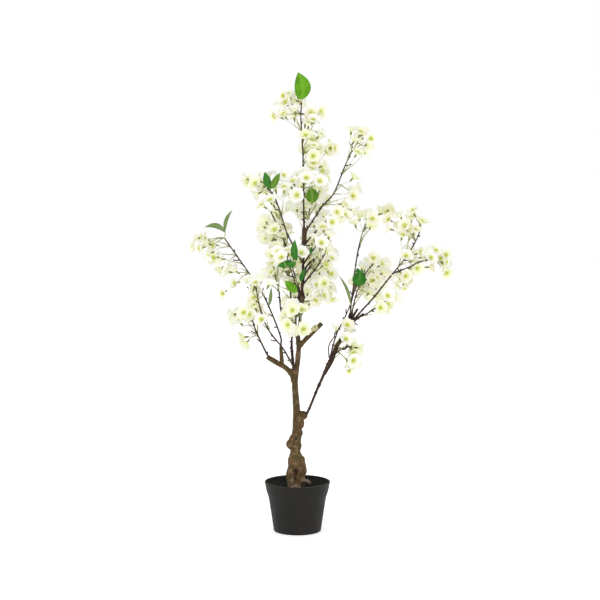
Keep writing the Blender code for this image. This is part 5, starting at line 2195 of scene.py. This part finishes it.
    def spur_of(self, node: Vector, forward: Vector, fan: Vector) -> Shape:
        """The shared stalk of a spray, from inside its stem to the point that its own stalks fan out from.

        Args:
            node: The place on the stem's middle line.
            forward: The stem's direction there.
            fan: The point that the stalks fan out from.

        Returns:
            The stalk, marked as brown at its foot.
        """
        outward = (fan - node).normalized()
        leaving = (0.7 * forward + outward).normalized()
        tube = bent(arc(node, leaving, fan, outward, self.spur, self.spur_rings), self.spur_sides)
        (most, reach, least), far = self.brown, np.linalg.norm(tube.points - np.array(node), axis=1)
        return Shape(tube.points, tube.faces, np.clip(most - far / reach, least, 1))


@dataclass
class Leaves:
    """The leaves: folded along the midrib, toothed at the edge and curved along their length."""

    rows: int = 22
    fold: float = 0.3
    curve: float = 0.1
    wave: Point = (0.08, 34)  # how high the waves of the edge are, and how close
    outline: tuple[float, float, float] = (2.72, 0.62, 0.86)  # its fullness, and its powers to foot and tip
    taper: Point = (0.5, 0.7)  # how much narrower its tip is, and from where
    narrow: float = 0.02
    tooth: float = 0.028
    stalk_radii: Point = (1.0, 0.7)
    stalk_rings: int = 6
    stalk_sides: int = 6
    stalk_in: float = 3
    rising: float = 0.4       # how much a stalk would sooner rise from its limb than hang
    rib: Point = (9, 0.8)     # how narrow the midrib's colour is, and how strong
    thickness: float = 0.5
    hidden: tuple[str, ...] = ("back_low", "back_centre", "back_left", "back_upper", "right_back")

    def breadth(self, row: int) -> float:
        """How broad a leaf is at a row of its vertices.

        Args:
            row: The row.

        Returns:
            Its breadth, 1 where the leaf is broadest.
        """
        share = row / self.rows
        (full, foot, tip), (less, start) = self.outline, self.taper
        breadth = full * share**foot * (1 - share) ** tip * (1 - less * max(0.0, share - start))
        return max(self.narrow, breadth) * (1 + (self.tooth if row % 2 else -self.tooth))

    def shaped(self, blank: Shape, blade: Blade) -> Shape:
        """Folds and curves a leaf, and sets it in its place.

        Args:
            blank: The flat leaf, one unit long and wide.
            blade: Its place and sizes.

        Returns:
            The leaf.
        """
        matrix, length = blade.matrix()
        across, share = blank.points[:, 0], blank.points[:, 1]
        arch = 4 * share * (1 - share)
        x = across * blade.breadth + blade.bow * length * arch
        z = self.fold * blade.breadth * np.abs(across) + self.curve * length * arch
        z += self.wave[0] * blade.breadth * np.sin(share * self.wave[1]) * np.abs(across)
        rib = np.clip(1 - np.abs(across) * self.rib[0], 0, 1) * self.rib[1]
        return Shape(np.stack([x, share * length, z], axis=1), blank.faces, rib).moved(matrix)

    def stalk(self, blade: Blade) -> Shape:
        """The stalk of a leaf, from its limb.

        Args:
            blade: The leaf.

        Returns:
            The stalk.
        """
        foot = Vector(blade.foot)
        way = (Vector(blade.tip) - foot).normalized()
        start = min(smooth(named(blade.limb).knots, 4), key=lambda sample: (
            (sample.xyz - foot).length + self.rising * max(0.0, sample.z - foot.z))).xyz
        leaving, end = (foot - start).normalized(), foot + way * self.stalk_in
        return bent(arc(start, leaving, end, way, self.stalk_radii, self.stalk_rings), self.stalk_sides)

    def build(self, crown: Crown) -> None:
        """Builds the leaves of the crown and their stalks.

        Args:
            crown: The crown.
        """
        blank = sheet(6, 1, [self.breadth(row) for row in range(self.rows + 1)])
        blades = list(BLADES) + self.hidden_blades(crown)
        for kind in Green:
            leaves = joined([self.shaped(blank, blade) for blade in blades if blade.kind is kind])
            obj = leaves.piece(kind.name.lower() + "_leaves", LEAF_FINISHES[kind], Slot.BLOSSOM, BEARING)
            apply_modifier(obj, "SOLIDIFY", thickness=self.thickness * MM, offset=0)
        stalks = joined([self.stalk(blade) for blade in blades])
        stalks.piece("leaf_stalks", STALK_FINISH, Slot.BLOSSOM, BEARING)

    def hidden_blades(self, crown: Crown) -> list[Blade]:
        """The leaves at the back of the crown, which the rule places.

        Args:
            crown: The crown.

        Returns:
            The leaves.
        """
        found = []
        for name in self.hidden:
            for leaf in crown.masses[name].leaves:
                foot, direction = leaf.matrix.translation, leaf.matrix.to_3x3().col[1]
                tip = foot + direction * leaf.length
                found.append(Blade(name, tuple(foot), tuple(tip), leaf.length * 0.5, Green.DEEP, faces=90))
        return found


@dataclass
class Studio:
    """A plain white floor, soft light and the camera at the photograph's angle."""

    pitch: float = 5.577
    lens: float = 104.15
    floor_radius: float = 9.0
    floor_sides: int = 64
    ambient: float = 0.78
    lights: tuple = (  # name, place, size and power
        ("key", (-1.8, -2.6, 3.0), 1.6, 24.5), ("fill", (2.4, -2.2, 1.6), 2.0, 8.575),
        ("back", (0.5, 2.8, 2.4), 2.0, 9.8),
    )
    aim: tuple[float, float, float] = (0, 0, 0.65)

    def build(self) -> None:
        """Builds the floor, the lights and the camera."""
        bpy.ops.mesh.primitive_circle_add(
            vertices=self.floor_sides, radius=self.floor_radius, fill_type="NGON")
        floor = bpy.context.object
        floor.name = "floor"
        floor.data.materials.append(FLOOR_FINISH.material())
        lens = bpy.data.cameras.new("camera")
        lens.lens = self.lens
        place = [size * MM for size in (CAMERA_SHIFT, -CAMERA_DISTANCE, CAMERA_HEIGHT)]
        turn = Euler((math.radians(90 - self.pitch), 0, 0))
        bpy.context.scene.camera = self.set_up(lens, place, turn)
        for name, place, size, power in self.lights:
            light = bpy.data.lights.new(name, "AREA")
            light.size, light.energy = size, power
            sight = Vector(self.aim) - Vector(place)
            self.set_up(light, place, sight.to_track_quat("-Z", "Y").to_euler())
        world = bpy.data.worlds.new("studio")
        world.use_nodes = True
        tree = world.node_tree
        seen = add_node(tree, "LightPath", {}).outputs["Is Camera Ray"]
        strength = add_node(tree, "MapRange", {"Value": seen, "To Min": self.ambient}).outputs["Result"]
        feed(tree, tree.nodes["Background"], {"Color": (1, 1, 1, 1), "Strength": strength})
        bpy.context.scene.world = world
        bpy.context.scene.view_settings.view_transform = "Standard"

    def set_up(self, data: bpy.types.ID, place: Sequence[float], turn: Euler) -> bpy.types.Object:
        """Puts a light or a camera in the scene.

        Args:
            data: The light or the lens.
            place: Its place in metres.
            turn: Its turn.

        Returns:
            Its object.
        """
        obj = bpy.data.objects.new(data.name, data)
        obj.location, obj.rotation_euler = place, turn
        bpy.context.scene.collection.objects.link(obj)
        return obj


def main() -> None:
    """Builds the tree round its solids and the studio round the tree."""
    logging.basicConfig(level=logging.INFO, format="%(message)s")
    Studio().build()
    Pot().build()
    Trunk().build()
    Stems().build()
    crown = Crown()
    crown.grow()
    LOG.info("crown: %d blossoms", sum(len(spray.blossoms) for _, spray in crown.sprays()))
    Flowers().build(crown)
    Leaves().build(crown)


if __name__ == "__main__":
    main()
